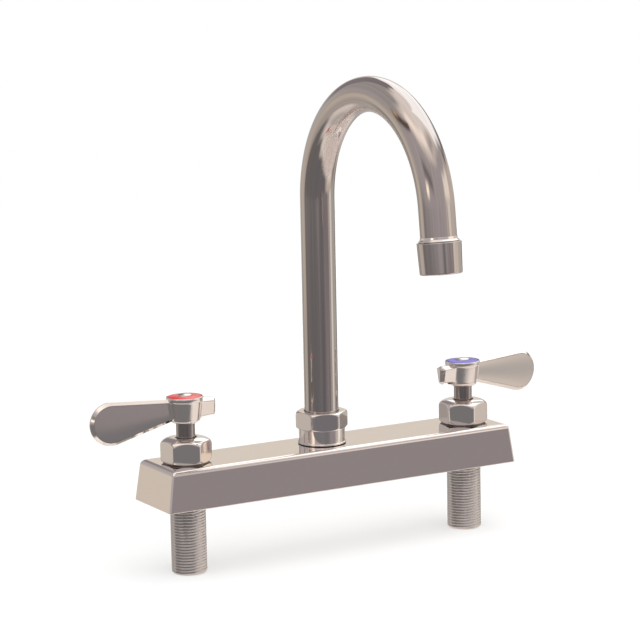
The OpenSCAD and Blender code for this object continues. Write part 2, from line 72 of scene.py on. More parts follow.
# Chamfer that takes the sharpness off a turned edge, in millimetres
BREAK = 0.1


def reach(node):
    """Lowest and highest corner of a CAD node at rest, in millimetres."""
    low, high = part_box(node)
    return np.array(low) / MM, np.array(high) / MM


def middle(node):
    """Middle of a CAD node's box, in millimetres."""
    low, high = reach(node)
    return (low + high) / 2


# Places and heights read from the frame, in millimetres
VALVE_X = {side: middle(f"bonnet_{side}")[0] for side in SIDES}
OUTLET_X = middle("outlet_collar")[0]
DECK_TOP = reach("body")[1][2]
BONNET_Z = reach("bonnet_washer_hot")[1][2]
SKIRT_Z = reach("bonnet_hot")[0][2]
BONNET_LIP = reach("bonnet_hot")[1][2]
SHANK_RADIUS = np.ptp([corner[1] for corner in reach("inlet_shank_hot")]) / 2
SHANK_END = reach("inlet_shank_hot")[0][2]
SHANK_TOP = reach("inlet_shank_hot")[1][2]
COLLAR_LOW, COLLAR_HIGH = (corner[2] for corner in reach("outlet_collar"))
NUT_Z, NUT_TOP = (corner[2] for corner in reach("swivel_nut"))
TUBE_Z = reach("spout_tube")[0][2]

# Sizes that the pieces share with the CAD source, in millimetres and degrees
BODY_LEAN = np.array([3.6, 1.6])
BODY_EDGE = 3.0
LIP_HEIGHT = 0.8
BONNET_TOP = BONNET_LIP - LIP_HEIGHT
BONNET_SHOULDER = 5.0
BONNET_TOP_RADIUS = 7.5
BONNET_FLATS = 28.0
BONNET_TURN = {"hot": 5.0, "cold": -8.0}
THREAD_TURN = {"hot": 40.0, "cold": 0.0}
BONNET_ROOF = 3.0
BARREL_ROOM = 10.0
THREAD_ROOM = 13.15
NECK_RADIUS = 5.85
NECK_HOLE = 6.15
SCREW_RISE = 1.7
HUB_TOP = reach("handle_screw_hot")[1][2] - SCREW_RISE
HUB_HEIGHT = 16.3
HUB_Z = HUB_TOP - HUB_HEIGHT
HUB_RIM = 11.5
HUB_FOOT = 9.3
RING_RADIUS = 10.6
RING_RECESS = 1.3
RING_RISE = 0.7
SCREW_BOSS = 4.5
LEVER_REACH = 61.5
LEVER_THICKNESS = 5.4
LEVER_RIM = 2.0
LEVER_TIP = 13.5
LEVER_SWEEP = 7.0
STUB_REACH = 19.6
COLLAR_RADIUS = 14.65
COLLAR_FOOT = 0.6
NUT_THREAD = 12.6
NUT_FLATS = 29.5
NUT_TURN = 10.0
OUTLET_BORE = 9.0
TUBE_RADIUS = 10.75
TUBE_WALL = 1.2
ARCH_RADIUS = 69.5
ARCH_Z = 181.0
ARCH_TURN = math.radians(173.7)
DROP = 16.3
AERATOR_LENGTH = 18.8
AERATOR_TOP = 13.15
AERATOR_MOUTH = 12.5
FERRULE = 3.0
OUTLET_THREAD = 11.3

# Focal length fitted to the photo and the photo's width, in pixels, and the sensor's width in mm
FOCAL, PHOTO_WIDTH, SENSOR = 2611.83, 640, 36


def linear(code, gain=1.0):
    """Linear colour of an sRGB hex code, times gain.

    Each channel c is c / 12.92 up to 0.04045, and ((c + 0.055) / 1.055) ** 2.4 above that.
    """
    share = np.array([int(code[i : i + 2], 16) for i in (1, 3, 5)]) / 255
    low, high = share / 12.92, ((share + 0.055) / 1.055) ** 2.4
    return (*(gain * np.where(share <= 0.04045, low, high)), 1.0)


def soft_min(a, b, width):
    """Smaller of a and b, blended over width: the lower of both less a parabola where they cross."""
    share = np.clip(0.5 + 0.5 * (b - a) / width, 0, 1)
    return b + (a - b) * share - width * share * (1 - share)


def ease(low, high, value):
    """Smooth step 3 t^2 - 2 t^3 from low to high."""
    t = np.clip((value - low) / (high - low), 0, 1)
    return t * t * (3 - 2 * t)


def arc(centre, radii, start, stop, count):
    """Points centre + (rx cos a, rz sin a) for a from start to stop, in degrees."""
    a = np.radians(np.linspace(start, stop, count))
    return np.stack([centre[0] + radii[0] * np.cos(a), centre[1] + radii[1] * np.sin(a)], -1)


def joined(*parts):
    """One outline from points and runs of points."""
    return np.concatenate([np.reshape(part, (-1, 2)) for part in parts])


def rounded(corners, radius, steps=7, near=0.15):
    """Closed outline with each corner turned into an arc, and a point just before and after it.

    The arc of radius R at corner c, between unit directions p and q to its neighbours, has its
    centre at c + (p + q) / |p + q| * R / sin(half angle) and starts R / tan(half angle) from c.
    """
    c = np.asarray(corners, float)
    back, on = np.roll(c, 1, 0) - c, np.roll(c, -1, 0) - c
    back_length, on_length = np.linalg.norm(back, axis=1), np.linalg.norm(on, axis=1)
    p, q = back / back_length[:, None], on / on_length[:, None]
    half = np.arccos(np.clip((p * q).sum(1), -1, 1)) / 2
    room = 0.46 * np.minimum(back_length, on_length)
    size = np.minimum(np.broadcast_to(radius, len(c)), room * np.tan(half))
    tangent = size / np.tan(half)
    way = (p + q) / np.linalg.norm(p + q, axis=1)[:, None]
    centre = c + way * (size / np.sin(half))[:, None]
    first, last = c + p * tangent[:, None], c + q * tangent[:, None]
    t = np.linspace(0, 1, steps)[None, :, None]
    swing = (math.pi - 2 * half)[:, None, None]
    turn_in = np.sin((1 - t) * swing) * (first - centre)[:, None]
    turn_out = np.sin(t * swing) * (last - centre)[:, None]
    bend = (turn_in + turn_out) / np.sin(swing) + centre[:, None]
    gap = np.minimum(near, 0.3 * (np.minimum(back_length, on_length) - tangent))[:, None]
    return np.concatenate(
        [(first + p * gap)[:, None], bend, (last + q * gap)[:, None]], 1
    ).reshape(-1, 2)


def swept(r, z, a=ROUND):
    """Surface P(s, a) = (r cos a, r sin a, z), with r and z given by row or by row and column."""
    return np.stack([r * np.cos(a), r * np.sin(a), z + 0 * a], -1)


def turned(outline):
    """Surface of revolution of an outline of (radius, height)."""
    r, z = np.asarray(outline).T[:, :, None]
    return swept(r, z)


def upright(radius, low, high, count):
    """Inner points of a straight wall at one radius, from low to high."""
    z = np.linspace(low, high, count)[1:-1]
    return np.stack([np.full_like(z, radius), z], -1)


def hexagon_angles(turn):
    """Angles round a hexagon with a flat facing turn, closer together towards the corners."""
    u = np.linspace(-1, 1, 30, endpoint=False)
    sector = np.sign(u) * (1 - (1 - np.abs(u)) ** 1.7) * math.pi / 6
    return (np.arange(6)[:, None] * math.pi / 3 + sector).ravel() + math.radians(turn)


def hexed(outline, flats, turn, corner, edge):
    """Turned outline cut to a hexagon: radius = soft-min(r(s), flat(a)).

    flat(a) is flats / 2 / cos(angle from the nearest flat), blended with the next flat's.
    """
    a = hexagon_angles(turn)
    off = np.abs((a - math.radians(turn) + math.pi / 6) % (math.pi / 3) - math.pi / 6)
    near, far = flats / 2 / np.cos(off), flats / 2 / np.cos(math.pi / 3 - off)
    flat = soft_min(near, far, corner)
    r, z = np.asarray(outline).T[:, :, None]
    r = np.where(r > 0.8 * flats / 2, soft_min(r + 0 * a, flat, edge), r + 0 * a)
    return swept(r, z, a)


def belt(circles, spacing=0.7, arc_step=math.radians(5)):
    """Outline of a belt round circles (x, z, radius) taken anticlockwise, with outward normals.

    Between two circles the belt's normal n is where n . (c2 - c1) = r1 - r2.
    """
    c = np.array(circles, float)
    after = np.roll(c, -1, 0)
    step = after[:, :2] - c[:, :2]
    length = np.hypot(*step.T)
    leave = np.arctan2(step[:, 1], step[:, 0]) - np.arccos((c[:, 2] - after[:, 2]) / length)
    meet = np.roll(leave, 1)
    points, normals = [], []
    for here, there, start, swing in zip(c, after, meet, (leave - meet) % TURN):
        a = start + np.linspace(0, swing, max(3, math.ceil(swing / arc_step) + 1))
        n = np.stack([np.cos(a), np.sin(a)], -1)
        bend = here[:2] + here[2] * n
        stop = there[:2] + there[2] * n[-1]
        count = max(2, int(np.linalg.norm(stop - bend[-1]) / spacing))
        t = np.linspace(0, 1, count + 2)[1:-1, None]
        points += [bend, bend[-1] + (stop - bend[-1]) * t]
        normals += [n, np.repeat(n[-1:], count, 0)]
    return np.concatenate(points), np.concatenate(normals)


def standing_plate(circles, half, rim, rows):
    """Plate on edge with bevelled rims, from the middle of one face over its rim to the other.

    Face: points from the middle of the outline to its inset by rim, at y = +-half.
    Rim: a bevel of width rim down to a fifth of half, with rounded edges, then square.
    half is a function of x and z.
    """
    outline, normals = belt(circles)
    inner = outline - rim * normals
    heart = inner.mean(0)
    t = np.linspace(0, 1, rows + 1)[1:, None, None]
    face = heart + (inner - heart) * t
    beyond = rim + 3
    corners = [(beyond, rim), (beyond, 0), (0, 0), (0, 0.2 * rim), (rim, rim)]
    section = rounded(corners, [0.1, 0.1, 0.1, 0.8, 0.9], near=0.05).reshape(len(corners), -1, 2)
    bevel = section[-2:].reshape(-1, 2)[::-1]
    inset, share = bevel.T[:, :, None]
    over = outline - inset[..., None] * normals
    flat = np.concatenate([face, over])
    share = np.concatenate([np.ones(rows), share[:, 0] / rim])
    y = half(flat[..., 0], flat[..., 1]) * share[:, None]
    front = np.stack([flat[..., 0], -y, flat[..., 1]], -1)
    back = np.stack([flat[..., 0], y, flat[..., 1]], -1)[::-1]
    return np.concatenate([front, back])


def filleted(hub, fillet, thickness):
    """Half thickness of an arm that flows into a turned hub.

    Seen from above, a circle of radius f touches the hub's circle R(z) and the arm's face h:
    its centre is at x_c = sqrt((R + f)^2 - (h + f)^2), y = h + f.
    """

    def half(x, z):
        """The arm's own half thickness, or the fillet's where that is thicker."""
        h = thickness(x, z)
        hub_radius = np.interp(z, hub[:, 1], hub[:, 0])
        centre = np.sqrt(np.maximum((hub_radius + fillet) ** 2 - (h + fillet) ** 2, 0.01))
        touch = centre * hub_radius / (hub_radius + fillet)
        nearest = np.clip(x, touch, centre)
        bend = h + fillet - np.sqrt(np.maximum(fillet**2 - (centre - nearest) ** 2, 0))
        return np.where(x >= centre, h, bend)

    return half


def moved(points, matrix):
    """Points taken through a 4 x 4 matrix."""
    m = np.array(matrix)
    return points @ m[:3, :3].T + m[:3, 3]


def at(x=0.0, y=0.0, z=0.0, turn=0.0, tilt=0.0):
    """Matrix that turns about Z, then tilts about X, then moves, in millimetres and degrees."""
    spin = Matrix.Rotation(math.radians(tilt), 4, "X") @ Matrix.Rotation(math.radians(turn), 4, "Z")
    return Matrix.Translation((x, y, z)) @ spin


def numbered(points, first=0):
    """Numbers of a lattice's vertices, row by row from first."""
    rows, columns = points.shape[:2]
    return np.arange(rows * columns).reshape(rows, columns) + first


def bands(index):
    """Four-sided faces between the rows of a numbered lattice, which closes round its columns."""
    side = np.roll(index, -1, 1)
    return np.stack([index[:-1], side[:-1], side[1:], index[1:]], -1).reshape(-1, 4).tolist()


def shell(points, ring, first):
    """Vertices and faces of a lattice that closes round its columns.

    ring closes the rows on themselves; else either end row closes on a pole at its middle.
    """
    index = numbered(points, first)
    if ring:
        return points.reshape(-1, 3), bands(np.concatenate([index, index[:1]]))
    low = np.full_like(index[0], first + index.size)
    caps = np.stack([np.roll(index[0], -1), index[0], low], -1).tolist()
    caps += np.stack([index[-1], np.roll(index[-1], -1), low + 1], -1).tolist()
    poles = np.stack([points[0].mean(0), points[-1].mean(0)])
    return np.concatenate([points.reshape(-1, 3), poles]), bands(index) + caps


def placed(name, data):
    """New object of the scene that holds data."""
    thing = bpy.data.objects.new(name, data)
    bpy.context.scene.collection.objects.link(thing)
    return thing


def meshed(name, points, faces):
    """Mesh of points, in metres, and faces."""
    mesh = bpy.data.meshes.new(name)
    mesh.from_pydata(points.reshape(-1, 3).tolist(), [], faces)
    return mesh


def new_piece(name, lattices, sharp=40.0):
    """Mesh object from lattices in millimetres; a lattice is (points, ring)."""
    verts, faces, first = [], [], 0
    for points, ring in lattices:
        v, f = shell(points, ring, first)
        verts.append(v)
        faces += f
        first += len(v)
    return finished(name, meshed(name, np.concatenate(verts) * MM, faces), sharp)


def finished(name, mesh, sharp):
    """Object with outward normals and smooth faces, creased where it turns over sharp degrees."""
    work = bmesh.new()
    work.from_mesh(mesh)
    bmesh.ops.recalc_face_normals(work, faces=work.faces)
    work.to_mesh(mesh)
    work.free()
    mesh.shade_smooth()
    mesh.set_sharp_from_angle(angle=math.radians(sharp))
    return placed(name, mesh)


def merged(node, name, flat=0.0):
    """Copy of a CAD node's mesh with merged seams; faces within flat degrees are joined."""
    mesh = bpy.data.meshes.new(name)
    work = bmesh.new()
    work.from_mesh(frame["nodes"][node].data)
    bmesh.ops.remove_doubles(work, verts=work.verts, dist=SEAM)
    if flat:
        bmesh.ops.dissolve_limit(
            work, angle_limit=math.radians(flat), verts=work.verts, edges=work.edges
        )
    work.to_mesh(mesh)
    work.free()
    return mesh


def dressed(node, name, width):
    """Copy of a CAD node with flat faces and with edges rounded by width."""
    piece = finished(name, merged(node, name, 0.4), 180)
    bevel = piece.modifiers.new("Edge rounding", "BEVEL")
    bevel.width = width * MM
    bevel.segments = 2
    bevel.limit_method = "ANGLE"
    bevel.angle_limit = math.radians(32)
    bevel.harden_normals = False
    even = piece.modifiers.new("Flat faces stay flat", "WEIGHTED_NORMAL")
    even.keep_sharp = False
    return piece


def carried(piece, body, material, node):
    """Rides piece on a body and material, in place of a CAD node."""
    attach(piece, body)
    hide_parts(node)
    piece.data.materials.clear()
    piece.data.materials.append(material)


def wire(tree, node, sockets):
    """Sets a node's inputs; a value that is an output is linked."""
    for key, value in sockets.items():
        if isinstance(value, bpy.types.NodeSocket):
            tree.links.new(value, node.inputs[key])
        else:
            node.inputs[key].default_value = value


def add(tree, kind, sockets=None, **settings):
    """New node of a kind with its settings and inputs."""
    node = tree.nodes.new(kind)
    for key, value in settings.items():
        setattr(node, key, value)
    wire(tree, node, sockets or {})
    return node


def result(tree, kind, sockets, **settings):
    """First output of a new node."""
    return add(tree, kind, sockets, **settings).outputs[0]


def new_material(name):
    """Material with an emptied node tree, its output and its shader."""
    material = bpy.data.materials.new(name)
    material.use_nodes = True
    tree = material.node_tree
    tree.nodes.clear()
    shader = add(tree, "ShaderNodeBsdfPrincipled")
    add(tree, "ShaderNodeOutputMaterial", {"Surface": shader.outputs["BSDF"]})
    return material, tree, shader


def noise(tree, size_mm, detail, stretch=(1, 1, 1), place=None):
    """Noise with features of about size_mm, finer by stretch along each axis."""
    place = place or add(tree, "ShaderNodeTexCoord").outputs["Object"]
    scaled = add(tree, "ShaderNodeMapping", {"Vector": place, "Scale": stretch})
    sockets = {"Vector": scaled.outputs["Vector"], "Scale": 1 / (size_mm * MM), "Detail": detail}
    return result(tree, "ShaderNodeTexNoise", sockets)


def spread(tree, value, low, high):
    """Maps 0.3..0.7 of a noise to low..high."""
    sockets = {"Value": value, "From Min": 0.3, "From Max": 0.7, "To Min": low, "To Max": high}
    return result(tree, "ShaderNodeMapRange", sockets)


def raised(tree, height, distance_um):
    """Normal of a surface raised by distance_um where height is 1."""
    sockets = {"Strength": 1.0, "Distance": distance_um * MM * MM, "Height": height}
    return result(tree, "ShaderNodeBump", sockets)


def plated(name, colour, smooth, rough, buff_mm, wave_mm, wave_um, corner_mm=0):
    """Chrome or nickel plate: haze of the buff's marks between two roughnesses, faint waves.

    Corners narrower than corner_mm get painted shade: an ambient occlusion node darkens the colour
    there.
    """
    material, tree, shader = new_material(name)
    tone = linear(colour)
    # Painted shade: ambient occlusion darkens the plate's colour towards #3b3634 in small corners
    if corner_mm:
        corner = add(
            tree, "ShaderNodeAmbientOcclusion", {"Distance": corner_mm * MM}, samples=16
        ).outputs["AO"]
        unshaded = result(
            tree, "ShaderNodeMapRange", {"Value": corner, "From Min": 0.35, "From Max": 0.7}
        )
        tones = {0: unshaded, 6: linear("#3b3634"), 7: tone}
        tone = add(tree, "ShaderNodeMix", tones, data_type="RGBA").outputs[2]
    haze = spread(tree, noise(tree, buff_mm, 4.0), smooth, rough)
    normal = raised(tree, noise(tree, wave_mm, 1.0), wave_um)
    wire(tree, shader, {"Metallic": 1.0, "Base Color": tone, "Roughness": haze, "Normal": normal})
    return material


def drawn(name, colour, smooth, rough, streak_mm, streak_um):
    """Chrome plate on drawn tube: the die's lines draw the reflections out into streaks.

    They run along the unbent tube and are about 80 times as long as they are wide.
    """
    material, tree, shader = new_material(name)
    place = add(
        tree, "ShaderNodeAttribute", attribute_type="GEOMETRY", attribute_name="straight"
    ).outputs["Vector"]
    along = (1, 1, 0.012)
    lines = noise(tree, streak_mm, 3.0, along, place)
    broad = noise(tree, 6 * streak_mm, 1.0, along, place)
    tones = {0: spread(tree, lines, 0, 1), 6: linear(colour, 0.86), 7: linear(colour)}
    tone = add(tree, "ShaderNodeMix", tones, data_type="RGBA")
    sockets = {
        "Metallic": 1.0,
        "Base Color": tone.outputs[2],
        "Roughness": spread(tree, lines, smooth, rough),
        "Normal": raised(tree, broad, streak_um),
    }
    wire(tree, shader, sockets)
    return material


def machined(name, colour, rough, groove_mm, groove_um):
    """Turned metal: fine rings along Z scatter the light in a streak."""
    material, tree, shader = new_material(name)
    place = add(tree, "ShaderNodeTexCoord").outputs["Object"]
    pitch = {"Vector": place, "Scale": 1 / (groove_mm * MM * TURN), "Distortion": 1.5}
    rings = add(tree, "ShaderNodeTexWave", {**pitch, "Detail": 2.0}, bands_direction="Z")
    sockets = {
        "Base Color": linear(colour),
        "Metallic": 1.0,
        "Roughness": spread(tree, noise(tree, 0.8, 3.0), rough * 0.8, rough * 1.25),
        "Normal": raised(tree, rings.outputs["Fac"], groove_um),
    }
    wire(tree, shader, sockets)
    return material


def moulded(name, colour, rough, grain_mm, grain_um, ior, shade=0.9):
    """Plastic, rubber or ceramic: a fine grain in the surface and a slight change of tone."""
    material, tree, shader = new_material(name)
    grain = noise(tree, grain_mm, 3.0)
    clouds = noise(tree, 9 * grain_mm, 2.0)
    tones = {0: clouds, 6: linear(colour, shade), 7: linear(colour)}
    tone = add(tree, "ShaderNodeMix", tones, data_type="RGBA")
    sockets = {
        "Base Color": tone.outputs[2],
        "Roughness": spread(tree, grain, rough * 0.9, rough * 1.15),
        "IOR": ior,
        "Normal": raised(tree, grain, grain_um),
    }
    wire(tree, shader, sockets)
    return material


def woven(name, colour, pitch_mm):
    """Steel gauze: dark gaps between crossed wires at the mesh's pitch."""
    material, tree, shader = new_material(name)
    place = add(tree, "ShaderNodeTexCoord").outputs["Object"]
    pitch = {"Vector": place, "Scale": 1 / (pitch_mm * MM * TURN)}
    across, along = (
        add(tree, "ShaderNodeTexWave", pitch, bands_direction=way).outputs["Fac"] for way in "XY"
    )
    wires = result(tree, "ShaderNodeMath", {0: across, 1: along}, operation="MAXIMUM")
    tones = {0: wires, 6: linear("#2a2826"), 7: linear(colour)}
    tone = add(tree, "ShaderNodeMix", tones, data_type="RGBA")
    sockets = {
        "Base Color": tone.outputs[2],
        "Metallic": 1.0,
        "Roughness": 0.35,
        "Normal": raised(tree, wires, 50),
    }
    wire(tree, shader, sockets)
    return material


class FinishSettings(bpy.types.PropertyGroup):
    """Colours of the finishes."""

    plate: bpy.props.StringProperty(
        name="Plate on castings", description="sRGB colour of the polished plate", default="#f2ece8"
    )
    tube_plate: bpy.props.StringProperty(
        name="Plate on the tube", description="sRGB colour of the plated tube", default="#d8d0cc"
    )
    hot: bpy.props.StringProperty(
        name="Hot ring", description="sRGB colour of the hot side's ring", default="#e03a38"
    )
    cold: bpy.props.StringProperty(
        name="Cold ring", description="sRGB colour of the cold side's ring", default="#4039bc"
    )


class ThreadSettings(bpy.types.PropertyGroup):
    """Thread of the inlet shanks."""

    pitch: bpy.props.FloatProperty(
        name="Pitch", description="Rise of the thread per turn", default=25.4 / 14 * MM, unit="LENGTH"
    )
    depth: bpy.props.FloatProperty(
        name="Depth", description="Depth of the groove", default=0.28 * MM, unit="LENGTH"
    )
    plain: bpy.props.FloatProperty(
        name="Run-out", description="Length over which the thread fades in", default=2 * MM,
        unit="LENGTH",
    )


class StageSettings(bpy.types.PropertyGroup):
    """Camera, softbox and floor."""

    place: bpy.props.FloatVectorProperty(
        name="Camera place", description="Place of the camera from the deck's middle",
        default=(-0.8104, -1.40565, 0.38128), unit="LENGTH",
    )
    yaw: bpy.props.FloatProperty(
        name="Yaw", description="Turn of the view to the right of +Y", default=math.radians(29.819),
        subtype="ANGLE",
    )
    pitch: bpy.props.FloatProperty(
        name="Pitch", description="Tilt of the view below the horizon", default=math.radians(9.713),
        subtype="ANGLE",
    )
    roll: bpy.props.FloatProperty(
        name="Roll", description="Turn of the picture about the line of sight",
        default=math.radians(-1.146), subtype="ANGLE",
    )
    lens: bpy.props.FloatProperty(
        name="Lens", description="Focal length on a 36 mm sensor",
        default=FOCAL / PHOTO_WIDTH * SENSOR, min=1,
    )
    softbox_place: bpy.props.FloatVectorProperty(
        name="Softbox place", description="Place of the softbox from the deck's middle",
        default=(0.35, -0.25, 1.3), unit="LENGTH",
    )
    softbox_power: bpy.props.FloatProperty(
        name="Softbox power", description="Power of the softbox", default=5.0, min=0, unit="POWER"
    )
    floor_radius: bpy.props.FloatProperty(
        name="Floor radius", description="Radius of the pale floor", default=2.2, unit="LENGTH"
    )


def settings(name):
    """The scene's property group of that name."""
    return getattr(bpy.context.scene, name)


def recipes(look):
    """How each finish is made: its function, its name and what else the function takes."""
    return {
        # Castings: soft highlights, and reflections that wander a little. The marks of the buff
        # are drawn coarser than they are, here and below, so that they show
        "cast": (plated, "Chrome plate polished on cast brass", look.plate, 0.06, 0.11, 3, 24, 10),
        # Tube: darker than the castings, with long streaks, coarser than real die lines
        "tube": (drawn, "Chrome plate on drawn tube", look.tube_plate, 0.05, 0.1, 0.9, 1.5),
        # Turned pieces: a crisp mirror, with painted shade in small corners
        "turned": (plated, "Chrome plate on turned brass", look.plate, 0.04, 0.08, 2, 14, 4, 2.5),
        # Housing: as crisp as the turned pieces, as dark as the tube
        "housing": (plated, "Chrome plate on the turned housing", look.tube_plate, 0.04, 0.08, 2, 14, 4),
        # Washers: dull, with the plate darkened to #8a827d as painted shade, so that they read as a dark
        # line under the bonnets
        "washer": (plated, "Chrome plate on the stamped washer", "#8a827d", 0.14, 0.22, 1, 5, 2),
        # Thread: satin crests
        "thread": (plated, "Chrome plate on cut thread", "#cdc9c7", 0.14, 0.22, 1, 6, 2),
        # Necks: a darker plate, slightly dull, with painted shade in small corners
        "neck": (plated, "Nickel plate on the turned spindle", "#b4aca9", 0.08, 0.14, 1, 8, 2, 2.5),
        # Screws: yellower than chrome, with blurred highlights
        "screw": (plated, "Nickel plate on steel screw", "#e6e0da", 0.12, 0.2, 0.6, 4, 2),
        # Bare brass: yellow, with the fine rings of the tool
        "brass": (machined, "Brass turned and left unplated", "#c69b4d", 0.24, 0.12, 3),
        # Seals: matte black
        "rubber": (moulded, "Nitrile rubber moulded matte", "#1f1e1d", 0.55, 0.25, 14, 1.52),
        # Discs: white with a hard gloss
        "ceramic": (moulded, "Alumina ceramic lapped flat", "#ece8dd", 0.12, 0.4, 2, 1.76, 0.97),
        # Glide washer: milky white and waxy
        "glide": (moulded, "Acetal turned natural white", "#e4e2dc", 0.35, 0.4, 8, 1.48, 0.95),
        # Flow insert: light grey and waxy
        "insert": (moulded, "Acetal moulded light grey", "#c9cbcb", 0.38, 0.3, 10, 1.48, 0.93),
        # Index rings: strong colour under a soft gloss
        "hot": (moulded, "Acrylic ring moulded red", look.hot, 0.16, 0.5, 6, 1.49, 0.9),
        "cold": (moulded, "Acrylic ring moulded blue", look.cold, 0.16, 0.5, 6, 1.49, 0.9),
        # Screen: bright wires with dark gaps
        "gauze": (woven, "Stainless gauze woven at 0.5 mm", "#b9b6b0", 0.5),
    }


MATERIALS = {}


def finish(name):
    """The named finish, made when first asked for."""
    if name not in MATERIALS:
        make, *details = recipes(settings("faucet_finish"))[name]
        MATERIALS[name] = make(*details)
    return MATERIALS[name]


def body_surface():
    """Outside of the casting: rounded rectangles stacked from its underside to its top.

    Row of height z: half sizes less lean * z / height less the inset of the edges' arcs, with
    corners of one radius. The faces stand in from the CAD source's by skin, so that a trim with
    it meets no face in its own plane.
    """
    skin, foot, corner = 0.04, 0.5, 1.5
    low, high = skin, DECK_TOP - skin
    size = reach("body")[1][:2] - skin
    a = np.radians(np.linspace(0, 90, 6))
    b = np.radians(np.linspace(0, 90, 14))
    z = np.concatenate([low + foot * (1 - np.cos(a)), high - BODY_EDGE * (1 - np.sin(b))])
    inset = np.concatenate([foot * (1 - np.sin(a)), BODY_EDGE * (1 - np.cos(b))])
    half = size - BODY_LEAN * z[:, None] / DECK_TOP - inset[:, None]
    turn = np.radians(np.linspace(0, 90, 8))
    quarter = np.stack([np.cos(turn), np.sin(turn)], -1)
    bend = (half - corner)[:, None, :] + corner * quarter
    flat = np.concatenate(
        [bend, (bend * (-1, 1))[:, ::-1], bend * (-1, -1), (bend * (1, -1))[:, ::-1]], 1
    )
    return np.concatenate([flat, np.broadcast_to(z[:, None, None], (*flat.shape[:2], 1))], -1)


def shank_surface(thread):
    """Threaded sleeve: r = R - depth * groove * fade, blended into the cone of the end chamfer.

    The groove is a clipped triangle of z / pitch - a / turn, flat for 0.12 of the pitch at its
    foot. The fade is 0 under the body and 1 from the run-out down.
    """
    pitch, depth, plain = thread.pitch / MM, thread.depth / MM, thread.plain / MM
    bore, spigot, shoulder, chamfer, neck = 6.5, 9.4, 0.0, 1.3, 0.5
    rows_per_turn, flat, flank, blend = 18, 0.06, 0.2, 0.25
    start, stop = SHANK_END + 0.2, shoulder - 0.05
    rows = int((shoulder - SHANK_END) / pitch * rows_per_turn)
    z = np.linspace(start, stop, rows)[:, None]
    phase = (z / pitch - ROUND / TURN) % 1
    crest = np.clip((np.abs(phase - 0.5) - flat) / flank, 0, 1)
    fade = 1 - ease(-plain - neck, -neck, z)
    lead = np.minimum(0, (z - SHANK_END) - chamfer) + 0 * ROUND
    r = soft_min(SHANK_RADIUS - depth * (1 - crest) * fade, SHANK_RADIUS + lead, blend)
    wall = swept(r, z)
    head = rounded(
        [(SHANK_RADIUS, shoulder), (spigot, shoulder), (spigot, SHANK_TOP), (bore, SHANK_TOP),
         (bore, SHANK_END), (SHANK_RADIUS - chamfer, SHANK_END)],
        [0.1, 0.1, 0.3, 0.3, 0.5, 0.2],
    )
    return np.concatenate([wall, turned(head)])


def bonnet_surface(turned_by):
    """Hexagon bonnet: foot chamfer, flats, domed shoulder, countersunk neck hole, threaded skirt.

    The hexagon stands turned_by degrees from square, as it was tightened.
    """
    corner = BONNET_FLATS / math.sqrt(3)
    blank = corner + 0.15
    foot_inset, foot = 1.8, (1.3, 1.0)
    side_round, side_z = 1.2, BONNET_Z + 2.4
    dome_z, shoulder = BONNET_TOP - BONNET_SHOULDER, (blank - BONNET_TOP_RADIUS, BONNET_SHOULDER)
    sink, cavity = 0.8, BONNET_TOP - BONNET_ROOF
    rim = NECK_HOLE + sink
    outline = joined(
        (THREAD_ROOM, SKIRT_Z), (THREAD_ROOM, BONNET_Z - BREAK / 2),
        (THREAD_ROOM + BREAK, BONNET_Z), (corner - foot_inset, BONNET_Z),
        arc((corner - foot_inset, BONNET_Z + foot[1]), foot, -90, -20, 8),
        arc((blank - side_round, side_z), (side_round, side_round), -45, 0, 8),
        upright(blank, side_z, dome_z, 24),
        arc((BONNET_TOP_RADIUS, dome_z), shoulder, 0, 86, 40),
        (rim + BREAK, BONNET_TOP + BREAK / 2), (rim - BREAK, BONNET_TOP),
        (NECK_HOLE + BREAK, BONNET_TOP - sink), (NECK_HOLE, BONNET_TOP - sink - 0.15),
        (NECK_HOLE, cavity + BREAK), (NECK_HOLE + BREAK, cavity), (BARREL_ROOM, cavity),
        (BARREL_ROOM, SKIRT_Z + BREAK), (BARREL_ROOM + BREAK, SKIRT_Z),
    )
    return hexed(outline, BONNET_FLATS, turned_by, corner=1.1, edge=0.55)


def nut_surface():
    """Swivel nut: rounded chamfers at both ends that scallop the flats, bore and inner step."""
    blank = NUT_FLATS / math.sqrt(3) + 0.15
    step, bore, hole = 2.3, NUT_THREAD + 0.05, TUBE_RADIUS + 0.3
    foot, crown, mouth, chamfer = 2.4, (3.4, 2.8), 0.3, 0.15
    low_z, high_z = NUT_Z + foot, NUT_TOP - crown[1]
    outline = joined(
        (bore, NUT_Z + chamfer), (bore + chamfer, NUT_Z),
        arc((blank - foot, low_z), (foot, foot), -90, 0, 26),
        upright(blank, low_z, high_z, 14), arc((blank - crown[0], high_z), crown, 0, 90, 30),
        arc((hole + mouth, NUT_TOP - mouth), (mouth, mouth), 90, 180, 6),
        (hole, NUT_TOP - step), (bore, NUT_TOP - step),
    )
    return hexed(outline, NUT_FLATS, NUT_TURN, corner=1.6, edge=0.7)


def hub_outline():
    """Outside of the hub, as (radius, height): rounded foot, cone that widens upward, rim band.

    The cone is straight, and a smooth step leads out to the band.
    """
    foot_round, rim_round, step = 2.4, (0.5, 0.9), 0.8
    foot = arc((HUB_FOOT - foot_round, foot_round), (foot_round, foot_round), -90, 0, 14)
    share = np.linspace(0, 1, 22)[1:-1]
    low, high, band = foot_round, HUB_HEIGHT - 3.1, HUB_HEIGHT - 2.3
    cone = HUB_FOOT + (HUB_RIM - step - HUB_FOOT) * share
    rise = np.linspace(high, band, 8)
    out = HUB_RIM - step + step * ease(high, band, rise)
    rim = arc((HUB_RIM - rim_round[0], HUB_HEIGHT - rim_round[1]), rim_round, 0, 84, 12)
    outline = joined(
        foot, np.stack([cone, low + (high - low) * share], -1), np.stack([out, rise], -1), rim
    )
    return outline + (0, HUB_Z)


